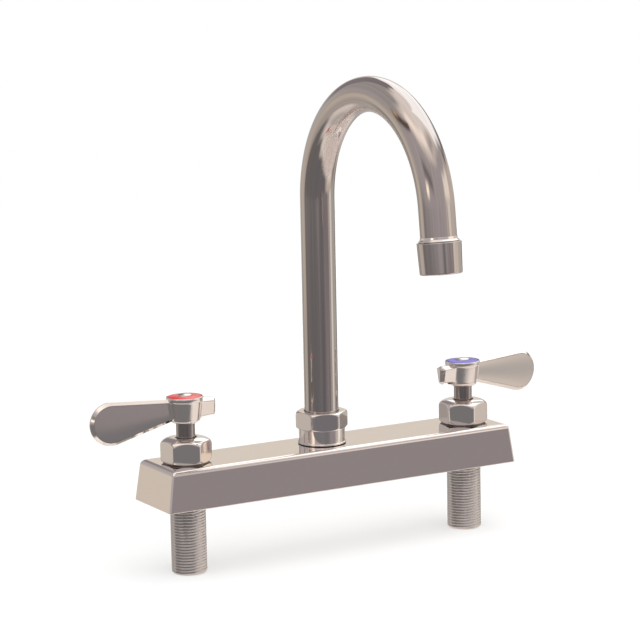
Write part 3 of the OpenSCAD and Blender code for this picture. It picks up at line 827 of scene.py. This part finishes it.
def hub_surface():
    """Hub turned round the valve's axis, bored for the neck, recessed for the index ring."""
    neck, screw, spline, room = NECK_RADIUS + 0.05, 2.1, 4.2, RING_RADIUS + 0.1
    recess, shoulder, socket = HUB_TOP - RING_RECESS, HUB_Z + 2.0, HUB_Z + 10.3
    outline = joined(
        (neck, HUB_Z + BREAK), (neck + 2 * BREAK, HUB_Z), hub_outline(),
        (room + 0.2, HUB_TOP), (room, HUB_TOP - 0.15),
        (room, recess), (SCREW_BOSS, recess), (SCREW_BOSS, HUB_TOP - BREAK),
        (SCREW_BOSS - BREAK, HUB_TOP), (screw, HUB_TOP), (screw, socket),
        (spline, socket), (spline, shoulder), (neck, shoulder),
    )
    return turned(outline)


def lever_surface():
    """Paddle lever: belt round its root and its round end, flowing into the hub with a fillet.

    Its faces are crowned: half the thickness less a parabola of the distance from the lever's
    axis, as a share of the half height, which grows from the root to the end.
    """
    root_z, root_top, top, root, corner = HUB_Z + 1.3, HUB_Z + 15.2, HUB_Z + 17, 6.0, 3.0
    end, end_z = LEVER_REACH - LEVER_TIP, top - LEVER_TIP
    circles = [
        (root + corner, root_z + corner, corner), (end, end_z, LEVER_TIP),
        (root + corner, root_top - corner, corner),
    ]
    crown, axis_z, root_half, fillet = 0.5, HUB_Z + 8.2, 7.0, 2.6

    def thickness(x, z):
        """Half thickness of the crowned paddle."""
        along = np.clip(x / end, 0, 1)
        half = root_half + (LEVER_TIP - root_half) * along
        off = (z - axis_z - (end_z - axis_z) * along) / half
        return LEVER_THICKNESS / 2 - crown * off**2

    return standing_plate(circles, filleted(hub_outline(), fillet, thickness), LEVER_RIM, rows=44)


def stub_surface():
    """Stub opposite the lever: a short block that tapers away from the hub and downward."""
    root_z, root_top, low, high = HUB_Z + 1.3, HUB_Z + 14.6, HUB_Z + 2.4, HUB_Z + 14.3
    root, corner, fillet, rim = 5.0, 2.4, 1.6, 1.6
    root_half, end_half, flare = 4.4, 3.6, 0.19
    circles = [
        (root + corner, root_z + corner, corner), (STUB_REACH - corner, low + corner, corner),
        (STUB_REACH - corner, high - corner, corner), (root + corner, root_top - corner, corner),
    ]

    def thickness(x, z):
        """Half thickness of the block."""
        half = np.interp(x, [root, STUB_REACH], [root_half, end_half])
        return half + flare * (z - (low + high) / 2)

    return standing_plate(circles, filleted(hub_outline(), fillet, thickness), rim, rows=26)


def tube_surface():
    """Bent tube: circle of radius R carried along riser, arch and drop, then back at the bore.

    P(s, a) = C(s) + R (cos a N(s) + sin a X); C runs up at y = 0, round (-ARCH_RADIUS, ARCH_Z)
    through ARCH_TURN and on along the tangent. The bend's inside ripples faintly.
    Returns the points and, for each, its place (R cos a, R sin a, s) on the unbent tube.
    """
    rise = np.linspace(TUBE_Z, ARCH_Z, 26)
    bend = np.linspace(0, ARCH_TURN, 150)[1:]
    drop = np.linspace(0, DROP, 6)[1:]
    way = np.array([-math.sin(ARCH_TURN), math.cos(ARCH_TURN)])
    end = ARCH_RADIUS * np.array([math.cos(ARCH_TURN) - 1, math.sin(ARCH_TURN)]) + (0, ARCH_Z)
    centre = joined(
        np.stack([0 * rise, rise], -1),
        np.stack([ARCH_RADIUS * (np.cos(bend) - 1), ARCH_Z + ARCH_RADIUS * np.sin(bend)], -1),
        end + way * drop[:, None],
    )
    angle = np.concatenate([0 * rise, bend, np.full(len(drop), ARCH_TURN)])
    normal = np.stack([np.cos(angle), np.sin(angle)], -1)
    a, ripple_high, ripple_long = ROUND, 0.01, 8.5
    inside = ease(0.1, 0.9, -np.cos(a))
    along = ease(0.15, 0.5, angle) * (1 - ease(1.6, 2.2, angle))
    wave = np.sin(angle * ARCH_RADIUS / ripple_long * TURN)
    ripple = ripple_high * wave[:, None] * along[:, None] * inside

    def sheath(radius, rows):
        """Rows of the tube's skin at a radius."""
        r = radius + ripple[rows]
        n = normal[rows]
        c = centre[rows]
        y = c[:, :1] + r * np.cos(a) * n[:, :1]
        z = c[:, 1:] + r * np.cos(a) * n[:, 1:]
        return np.stack([OUTLET_X + r * np.sin(a), y, z], -1)

    out = np.arange(len(centre))
    rows = np.concatenate([out, out[::-1]])
    radius = np.repeat([TUBE_RADIUS, TUBE_RADIUS - TUBE_WALL], len(centre))[:, None]
    steps = np.linalg.norm(np.diff(centre, axis=0), axis=1)
    length = np.concatenate([[0], np.cumsum(steps)])[rows][:, None]
    straight = np.stack([radius * np.cos(a), radius * np.sin(a), length + 0 * a], -1)
    return sheath(radius, rows), straight.reshape(-1, 3)


def spout_end():
    """Frame at the tube's end, with Z back up along the drop."""
    y = ARCH_RADIUS * (math.cos(ARCH_TURN) - 1) - DROP * math.sin(ARCH_TURN)
    z = ARCH_Z + ARCH_RADIUS * math.sin(ARCH_TURN) + DROP * math.cos(ARCH_TURN)
    return at(OUTLET_X, y, z, tilt=math.degrees(ARCH_TURN) - 180)


def fitting_surface():
    """Outlet fitting: spigot in the tube, bright flared ring, male thread."""
    inner, spigot, gap = TUBE_RADIUS - TUBE_WALL, 6, 0.02
    bore, flare, foot = inner - 1.6, OUTLET_THREAD + 0.75, FERRULE + 7
    corners = [
        (bore, spigot), (bore, -foot), (OUTLET_THREAD, -foot), (OUTLET_THREAD, -FERRULE),
        (flare, -FERRULE), (flare, -FERRULE * 0.8), (TUBE_RADIUS + 0.3, -FERRULE * 0.5),
        (TUBE_RADIUS + 0.15, -gap), (inner, -gap), (inner, spigot),
    ]
    return turned(rounded(corners, [0.3, 0.3, 0.3, 0.1, 0.2, 0.25, 0.6, 0.15, 0.05, 0.3]))


def aerator_surface():
    """Aerator housing: taper to a rounded mouth, bore with a lip that holds the insert."""
    high = -FERRULE - 0.1
    low = high - AERATOR_LENGTH
    lip, bore, hole = 1.6, OUTLET_THREAD + 0.05, AERATOR_MOUTH - 2.2
    corners = [
        (bore, high), (bore, low + lip), (hole, low + lip), (hole, low),
        (AERATOR_MOUTH, low), (AERATOR_TOP, high),
    ]
    return turned(rounded(corners, [0.15, 0.1, 0.2, 0.5, 1.3, 0.4], steps=9))


def collar_surface():
    """Outlet collar: nipple, foot ring, plain barrel and the thread under the nut."""
    nipple = NUT_THREAD - 0.4
    ring, undercut, shadow_gap = COLLAR_RADIUS + COLLAR_FOOT, 0.5, 0.3
    ring_inner, ring_low = ring - undercut, DECK_TOP + shadow_gap
    corners = [
        (OUTLET_BORE, COLLAR_LOW), (nipple, COLLAR_LOW), (nipple, DECK_TOP),
        (ring_inner, DECK_TOP), (ring_inner, ring_low), (ring, ring_low),
        (ring, DECK_TOP + 1.2), (COLLAR_RADIUS, DECK_TOP + 1.4), (COLLAR_RADIUS, NUT_Z),
        (NUT_THREAD, NUT_Z), (NUT_THREAD, COLLAR_HIGH), (OUTLET_BORE, COLLAR_HIGH),
    ]
    rounds = [0.3, 0.3, 0.1, 0.05, 0.05, 0.2, 0.4, 0.3, 0.25, 0.05, 0.2, 0.3]
    return turned(rounded(corners, rounds))


def washer_surface(inner, outer, low, high, edge):
    """Flat ring with rounded edges."""
    return turned(rounded([(inner, low), (outer, low), (outer, high), (inner, high)], edge))


def index_surface():
    """Coloured ring: rises from its rim to the screw with a softly domed top."""
    low = HUB_TOP - RING_RECESS
    inner, outer, inner_edge, outer_edge, dip = SCREW_BOSS + 0.1, RING_RADIUS, 0.3, 0.45, 0.05
    share = np.linspace(0, 1, 14)
    radius = outer - outer_edge + (inner + inner_edge - outer + outer_edge) * share
    height = HUB_TOP - dip + (RING_RISE - dip) * np.sin(share * math.pi / 2)
    outline = joined(
        (inner, low), (outer, low), (outer, HUB_TOP - 0.4), np.stack([radius, height], -1),
        (inner, HUB_TOP + RING_RISE - 0.2),
    )
    return turned(outline)


def trimmed(block, node):
    """Block cut to its overlap with a copy of a CAD node, which gives it the node's hollows."""
    tool = placed("trim", merged(node, "trim"))
    trim = block.modifiers.new("Hollows", "BOOLEAN")
    trim.operation, trim.solver, trim.object = "INTERSECT", "EXACT", tool
    graph = bpy.context.evaluated_depsgraph_get()
    cut = bpy.data.meshes.new_from_object(block.evaluated_get(graph))
    for used in (block, tool):
        bpy.data.objects.remove(used)
    return cut


class FAUCET_OT_body(bpy.types.Operator):
    """Body casting: smooth outside, hollow underside"""

    bl_idname = "faucet.body"
    bl_label = "Body"

    def execute(self, context):
        points, sharp = body_surface(), 30
        index = numbered(points)
        faces = bands(index) + [index[0, ::-1].tolist(), index[-1].tolist()]
        cast = trimmed(finished("block", meshed("block", points * MM, faces), sharp), "body")
        piece = finished("body_casting", cast, sharp)
        piece.modifiers.new("Flat faces stay flat", "WEIGHTED_NORMAL").keep_sharp = True
        carried(piece, "base", finish("cast"), "body")
        return {"FINISHED"}


class FAUCET_OT_shanks(bpy.types.Operator):
    """Threaded inlet shanks"""

    bl_idname = "faucet.shanks"
    bl_label = "Inlet shanks"

    def execute(self, context):
        surface = shank_surface(settings("faucet_thread"))
        for side in SIDES:
            points = moved(surface, at(VALVE_X[side], turn=THREAD_TURN[side]))
            piece = new_piece(f"shank_{side}_threaded", [(points, True)], 180)
            carried(piece, "base", finish("thread"), f"inlet_shank_{side}")
        return {"FINISHED"}


class FAUCET_OT_bonnets(bpy.types.Operator):
    """Hexagon bonnets and their washers"""

    bl_idname = "faucet.bonnets"
    bl_label = "Bonnets"

    def execute(self, context):
        bore, rim, edge = THREAD_ROOM + 0.1, BONNET_FLATS / 2 + 0.4, 0.3
        washer = washer_surface(bore, rim, DECK_TOP, BONNET_Z, edge)
        for side in SIDES:
            place = at(VALVE_X[side])
            bonnet = moved(bonnet_surface(BONNET_TURN[side]), place)
            piece = new_piece(f"bonnet_{side}_polished", [(bonnet, True)])
            carried(piece, "base", finish("turned"), f"bonnet_{side}")
            piece = new_piece(f"bonnet_washer_{side}_polished", [(moved(washer, place), True)])
            carried(piece, "base", finish("washer"), f"bonnet_washer_{side}")
        return {"FINISHED"}


class FAUCET_OT_handles(bpy.types.Operator):
    """Handles with their index rings, screws and spindles"""

    bl_idname = "faucet.handles"
    bl_label = "Handles"

    def execute(self, context):
        hub, lever, stub, ring = hub_surface(), lever_surface(), stub_surface(), index_surface()
        for side in SIDES:
            turn = 180 - LEVER_SWEEP if side == "hot" else LEVER_SWEEP
            body = f"{side}_valve"
            place, back = at(VALVE_X[side], turn=turn), at(VALVE_X[side], turn=turn + 180)
            parts = [(moved(hub, place), True), (moved(lever, place), False),
                     (moved(stub, back), False)]
            piece = new_piece(f"handle_{side}_polished", parts)
            carried(piece, body, finish("cast"), f"handle_{side}")
            piece = new_piece(f"index_ring_{side}_moulded", [(moved(ring, place), True)])
            carried(piece, body, finish(side), f"index_ring_{side}")
            piece = dressed(f"handle_screw_{side}", f"handle_screw_{side}_plated", 0.12)
            carried(piece, body, finish("screw"), f"handle_screw_{side}")
            piece = dressed(f"spindle_{side}", f"spindle_{side}_plated", 0.08)
            carried(piece, body, finish("neck"), f"spindle_{side}")
        return {"FINISHED"}


class FAUCET_OT_spout(bpy.types.Operator):
    """Collar, swivel nut, gooseneck tube, outlet fitting and aerator housing"""

    bl_idname = "faucet.spout"
    bl_label = "Spout"

    def execute(self, context):
        foot, end = at(OUTLET_X), spout_end()
        rows = [
            ("outlet_collar", "turned", moved(collar_surface(), foot)),
            ("swivel_nut", "turned", moved(nut_surface(), foot)),
            ("outlet_fitting", "turned", moved(fitting_surface(), end)),
            ("aerator_housing", "housing", moved(aerator_surface(), end)),
        ]
        for node, look, points in rows:
            piece = new_piece(f"{node}_polished", [(points, True)])
            carried(piece, node_body(node), finish(look), node)
        points, straight = tube_surface()
        piece = new_piece("spout_tube_polished", [(points, True)])
        unbent = piece.data.attributes.new("straight", "FLOAT_VECTOR", "POINT")
        unbent.data.foreach_set("vector", (straight * MM).ravel())
        carried(piece, "spout", finish("tube"), "spout_tube")
        return {"FINISHED"}


def node_body(node):
    """Name of the body that carries a CAD node."""
    bodies = frame["record"]["behaviour"]["bodies"]
    return next(body for body, nodes in bodies.items() if node in nodes)


class FAUCET_OT_inner(bpy.types.Operator):
    """Finishes of the inner pieces that keep their CAD meshes"""

    bl_idname = "faucet.inner"
    bl_label = "Inner pieces"

    def execute(self, context):
        looks = {
            "cartridge": "brass", "seat_seal": "rubber", "fixed_disc": "ceramic",
            "turning_disc": "ceramic", "spindle_oring": "rubber", "spout_spigot": "brass",
            "spout_orings": "rubber", "glide_washer": "glide", "aerator_washer": "rubber",
            "aerator_screen": "gauze", "aerator_insert": "insert",
        }
        for name, node in frame["nodes"].items():
            kind = name.removesuffix("_hot").removesuffix("_cold")
            if kind in looks:
                node.data.materials.clear()
                node.data.materials.append(finish(looks[kind]))
        return {"FINISHED"}


# The room by height above the horizon, in degrees: white sweep below, grey walls, bright ceiling
ROOM = [
    (-90, "#fff4ec"), (-50, "#fff6ee"), (-36, "#f3e9e1"), (-27, "#b5adab"), (0, "#b9b2b4"),
    (36, "#b9b2b3"), (50, "#f6ebe2"), (68, "#fff6f0"), (90, "#fff6f1"),
]

Panel = namedtuple(
    "Panel", "colour azimuth height half_width half_height soft lean gain", defaults=(0.0, 1.0)
)

# What stands in the room, in degrees: azimuth from +X, height, halves of the width and height, soft
# edge, and lean, which is the rise for each degree to the left. gain is the light over white paper.
PANELS = [
    # Pale wall to the right, lit above and below, with a dark stand before it
    Panel("#d6cbc1", -8, -4, 52, 26, 9),
    Panel("#fff4ea", -38, 16, 20, 9, 6, -0.1, 1.1),
    Panel("#fff6ee", -22, -30, 30, 10, 7, 0.2),
    Panel("#f6ece2", -40, 2, 10, 4, 3),
    Panel("#b5b0ac", -42, -10, 9, 3, 3),
    Panel("#fbf8f2", -24, -9, 8, 4, 3),
    Panel("#bfbcb5", 18, -9, 28, 4, 4),
    Panel("#a39b97", 4, -22, 17, 8, 6),
    Panel("#6a6563", 42, -9, 13, 5, 4),
    # Unlit half of the room behind the camera, with a case and the edge of a table
    Panel("#7a787a", -126, -28, 60, 25, 8),
    Panel("#7c7978", 166, -22, 26, 18, 8),
    Panel("#928a8c", -65, -7, 17, 8, 3),
    Panel("#767277", -99, -9, 7, 8, 4),
    Panel("#837e7d", -150, 22, 22, 6, 7),
    # Grey wall and a low cupboard to the left and behind
    Panel("#b0abaa", 118, 40, 30, 22, 8),
    Panel("#c0b9b3", 114, -10, 28, 20, 8),
    Panel("#bfbab6", 78, -30, 22, 14, 8),
    # Bright strip of the ceiling to the left and a duct beside it
    Panel("#fff3e8", -150, 58, 46, 7, 6, 0.1, 1.3),
    Panel("#c0b6b3", -66, 56, 24, 8, 9),
    # Lamp that the hot bonnet's right face finds by way of the nut
    Panel("#fff1df", -164, 11, 7, 3, 3, gain=1.5),
    # Large window behind to the right, its sill dark
    Panel("#ffffff", 22, 49, 44, 29, 5, -0.45, 1.4),
    Panel("#7f7c7a", 22, 13, 24, 3.5, 3, -0.42),
    Panel("#6b6664", 42, 8, 10, 4, 2, -0.2),
    # Dark door behind, and a beige card low beside it
    Panel("#8f878b", 80, 32, 15, 26, 3),
    Panel("#c2c0bd", 86, -6, 26, 12, 6),
    Panel("#d4c9bd", 121, -6, 19, 7, 6),
    Panel("#a39c97", 104, -14, 6, 5, 3),
    # Dark curtain with a small amber lamp beside it
    Panel("#63564c", 155, 27, 17, 4.5, 3, 0.8),
    Panel("#ecb878", 142, 19, 2.5, 2.5, 1.5, 0.8),
    # Beige back of the sweep, seen in the body's top, and its shaded side
    Panel("#ddd3c8", 58, 11, 11, 7, 3),
    Panel("#cdc7c4", 108, -68, 46, 20, 12),
]


def within(tree, value, half, soft):
    """1 where |value| is under half, falling smoothly to 0 over soft on both sides of it."""
    sockets = {
        "Value": result(tree, "ShaderNodeMath", {0: value}, operation="ABSOLUTE"),
        "From Min": math.radians(half + soft),
        "From Max": math.radians(half - soft),
    }
    return result(tree, "ShaderNodeMapRange", sockets, interpolation_type="SMOOTHSTEP")


def build_studio(tree):
    """Colour of the room by direction: the walls by height, then each panel over them.

    A slow noise shifts the directions by a few degrees, so that no edge is quite straight.
    """
    kind = "ShaderNodeMath"
    way = add(tree, "ShaderNodeTexCoord").outputs["Generated"]
    x, y, z = add(tree, "ShaderNodeSeparateXYZ", {0: way}).outputs
    sway = result(tree, "ShaderNodeTexNoise", {"Vector": way, "Scale": 2.4, "Detail": 1.0})
    shift = spread(tree, sway, math.radians(-2.5), math.radians(2.5))
    turn = result(tree, kind, {0: y, 1: x}, operation="ARCTAN2")
    turn = result(tree, kind, {0: turn, 1: shift}, operation="ADD")
    rise = result(tree, kind, {0: z}, operation="ARCSINE")
    rise = result(tree, kind, {0: rise, 1: shift}, operation="ADD")
    height = {"Value": rise, "From Min": -math.pi / 2, "From Max": math.pi / 2}
    share = result(tree, "ShaderNodeMapRange", height)
    walls = add(tree, "ShaderNodeValToRGB", {"Fac": share})
    walls.color_ramp.interpolation = "EASE"
    marks = walls.color_ramp.elements
    for i, (degrees, code) in enumerate(ROOM):
        mark = marks[i] if i < 2 else marks.new(1)
        mark.position = (degrees + 90) / 180
        mark.color = linear(code)
    colour = walls.outputs["Color"]
    for panel in PANELS:
        off = result(tree, kind, {0: turn, 1: math.radians(panel.azimuth)}, operation="SUBTRACT")
        off = result(tree, kind, {0: off, 1: math.pi, 2: -math.pi}, operation="WRAP")
        up = result(tree, kind, {0: off, 1: -panel.lean, 2: rise}, operation="MULTIPLY_ADD")
        up = result(tree, kind, {0: up, 1: math.radians(panel.height)}, operation="SUBTRACT")
        across = within(tree, off, panel.half_width, panel.soft)
        upward = within(tree, up, panel.half_height, panel.soft)
        share = result(tree, kind, {0: across, 1: upward}, operation="MULTIPLY")
        tones = {0: share, 6: colour, 7: linear(panel.colour, panel.gain)}
        colour = add(tree, "ShaderNodeMix", tones, data_type="RGBA").outputs[2]
    return colour


def build_world():
    """White to the camera; mirrors see the studio; other surfaces get an even soft light."""
    world = bpy.data.worlds.new("Soft studio")
    bpy.context.scene.world = world
    world.use_nodes = True
    tree = world.node_tree
    tree.nodes.clear()
    path = add(tree, "ShaderNodeLightPath")
    white = add(tree, "ShaderNodeBackground", {"Color": (1, 1, 1, 1), "Strength": 1.0})
    mirrored = add(tree, "ShaderNodeBackground", {"Color": build_studio(tree), "Strength": 1.0})
    mix = add(
        tree, "ShaderNodeMixShader",
        {0: path.outputs["Is Glossy Ray"], 1: white.outputs[0], 2: mirrored.outputs[0]},
    )
    add(tree, "ShaderNodeOutputWorld", {"Surface": mix.outputs[0]})


def faded(tree, centre, near, far):
    """Share that rises smoothly from 0 to 1 between near and far, in metres, from a centre."""
    place = add(tree, "ShaderNodeTexCoord").outputs["Object"]
    away = add(tree, "ShaderNodeVectorMath", {0: place, 1: centre}, operation="DISTANCE")
    sockets = {"Value": away.outputs["Value"], "From Min": near, "From Max": far}
    return result(tree, "ShaderNodeMapRange", sockets, interpolation_type="SMOOTHSTEP")


def sheet(name, radius, z, colour, look):
    """Round stage sheet at height z, its paper turned clear by the share that look returns."""
    share = np.linspace(0, 1, 25)[1:, None]
    a = np.linspace(0, TURN, 96, endpoint=False)
    points = swept(radius * share**1.5, np.full_like(share, z), a)
    index = numbered(points)
    piece = placed(name, meshed(name, points, bands(index) + [index[0].tolist()]))
    material = bpy.data.materials.new(f"Matt paper rolled out, {name}")
    material.use_nodes = True
    tree = material.node_tree
    tree.nodes.clear()
    paper = result(tree, "ShaderNodeBsdfDiffuse", {"Color": linear(colour), "Roughness": 1.0})
    through = result(tree, "ShaderNodeBsdfTransparent", {})
    mix = result(tree, "ShaderNodeMixShader", {0: look(tree), 1: paper, 2: through})
    add(tree, "ShaderNodeOutputMaterial", {"Surface": mix})
    piece.data.materials.append(material)
    return piece


def build_floor(radius):
    """Pale floor under the shanks; it fades out at its rim, and mirrors look through it.

    Mirrors see a pale table below it, of which only the stretch near the object is lit.
    """
    lit_middle, lit_radius, blur, table_z = (0.25, -0.11), 0.38, 0.1, -0.15

    def floor_look(tree):
        """At least half clear, and wholly clear to mirrors and at the rim."""
        rim = faded(tree, (0, 0, 0), 0.3 * radius, 0.9 * radius)
        thin = result(tree, "ShaderNodeMath", {0: rim, 1: 0.5}, operation="MAXIMUM")
        glossy = add(tree, "ShaderNodeLightPath").outputs["Is Glossy Ray"]
        return result(tree, "ShaderNodeMath", {0: thin, 1: glossy}, operation="MAXIMUM")

    def table_look(tree):
        """Clear outside the lit stretch."""
        return faded(tree, (*lit_middle, table_z), lit_radius - blur, lit_radius + blur)

    sheet("floor", radius, (SHANK_END - 0.2) * MM, "#ffffff", floor_look)
    table = sheet("table", 0.7, table_z, "#ede4de", table_look)
    table.visible_camera = table.visible_diffuse = table.visible_shadow = False


def build_camera(stage):
    """Camera whose axes are right, up and back, rolled about the line of sight."""
    yaw, pitch, roll = stage.yaw, -stage.pitch, stage.roll
    forward = np.array(
        [math.sin(yaw) * math.cos(pitch), math.cos(yaw) * math.cos(pitch), math.sin(pitch)]
    )
    right = np.cross(forward, (0, 0, 1))
    right /= np.linalg.norm(right)
    up = np.cross(right, forward)
    right, up = (right * math.cos(roll) + up * math.sin(roll),
                 up * math.cos(roll) - right * math.sin(roll))
    lens = bpy.data.cameras.new("Photo angle")
    lens.sensor_width = SENSOR
    lens.lens = stage.lens
    camera = placed("Photo angle", lens)
    turn = Matrix(np.stack([right, up, -forward], -1).tolist()).to_4x4()
    camera.matrix_world = Matrix.Translation(stage.place) @ turn
    bpy.context.scene.camera = camera


def build_softbox(stage):
    """Large soft light above, turned to the body; mirrors don't show it."""
    place, target = Vector(stage.softbox_place), Vector((0, 0, 0.1))
    light = bpy.data.lights.new("Softbox above", "AREA")
    light.shape = "RECTANGLE"
    light.size, light.size_y = 1.0, 0.8
    light.energy = stage.softbox_power
    light.color = linear("#fffcf8")[:3]
    lamp = placed("Softbox above", light)
    lamp.visible_glossy = False
    turn = (place - target).to_track_quat("Z", "Y").to_matrix().to_4x4()
    lamp.matrix_world = Matrix.Translation(place) @ turn


class FAUCET_OT_stage(bpy.types.Operator):
    """Floor, studio light and the camera at the photo's angle"""

    bl_idname = "faucet.stage"
    bl_label = "Stage"

    def execute(self, context):
        stage = settings("faucet_stage")
        build_world()
        build_floor(stage.floor_radius)
        build_softbox(stage)
        build_camera(stage)
        bpy.context.scene.view_settings.view_transform = "Standard"
        return {"FINISHED"}


class FAUCET_PT_panel(bpy.types.Panel):
    """Sidebar panel with the faucet's settings and steps"""

    bl_label = "Faucet"
    bl_idname = "FAUCET_PT_panel"
    bl_space_type = "VIEW_3D"
    bl_region_type = "UI"
    bl_category = "Faucet"

    def draw(self, context):
        for group in GROUPS:
            for key in group[1].__annotations__:
                self.layout.prop(getattr(context.scene, group[0]), key)
        for step in STEPS:
            self.layout.operator(step.bl_idname)


GROUPS = (
    ("faucet_finish", FinishSettings),
    ("faucet_thread", ThreadSettings),
    ("faucet_stage", StageSettings),
)
STEPS = (
    FAUCET_OT_body, FAUCET_OT_shanks, FAUCET_OT_bonnets, FAUCET_OT_handles, FAUCET_OT_spout,
    FAUCET_OT_inner, FAUCET_OT_stage,
)


def register():
    """Registers the settings, the operators and the sidebar panel."""
    for name, kind in GROUPS:
        bpy.utils.register_class(kind)
        setattr(bpy.types.Scene, name, bpy.props.PointerProperty(type=kind))
    for kind in (*STEPS, FAUCET_PT_panel):
        bpy.utils.register_class(kind)


def unregister():
    """Takes back what register did, in reverse order."""
    for kind in (FAUCET_PT_panel, *reversed(STEPS)):
        bpy.utils.unregister_class(kind)
    for name, kind in reversed(GROUPS):
        delattr(bpy.types.Scene, name)
        bpy.utils.unregister_class(kind)


def main():
    """Builds everything."""
    register()
    for step in STEPS:
        area, name = step.bl_idname.split(".")
        if getattr(getattr(bpy.ops, area), name)() != {"FINISHED"}:
            raise RuntimeError(f"{step.bl_label} did not finish")


if __name__ == "__main__":
    main()
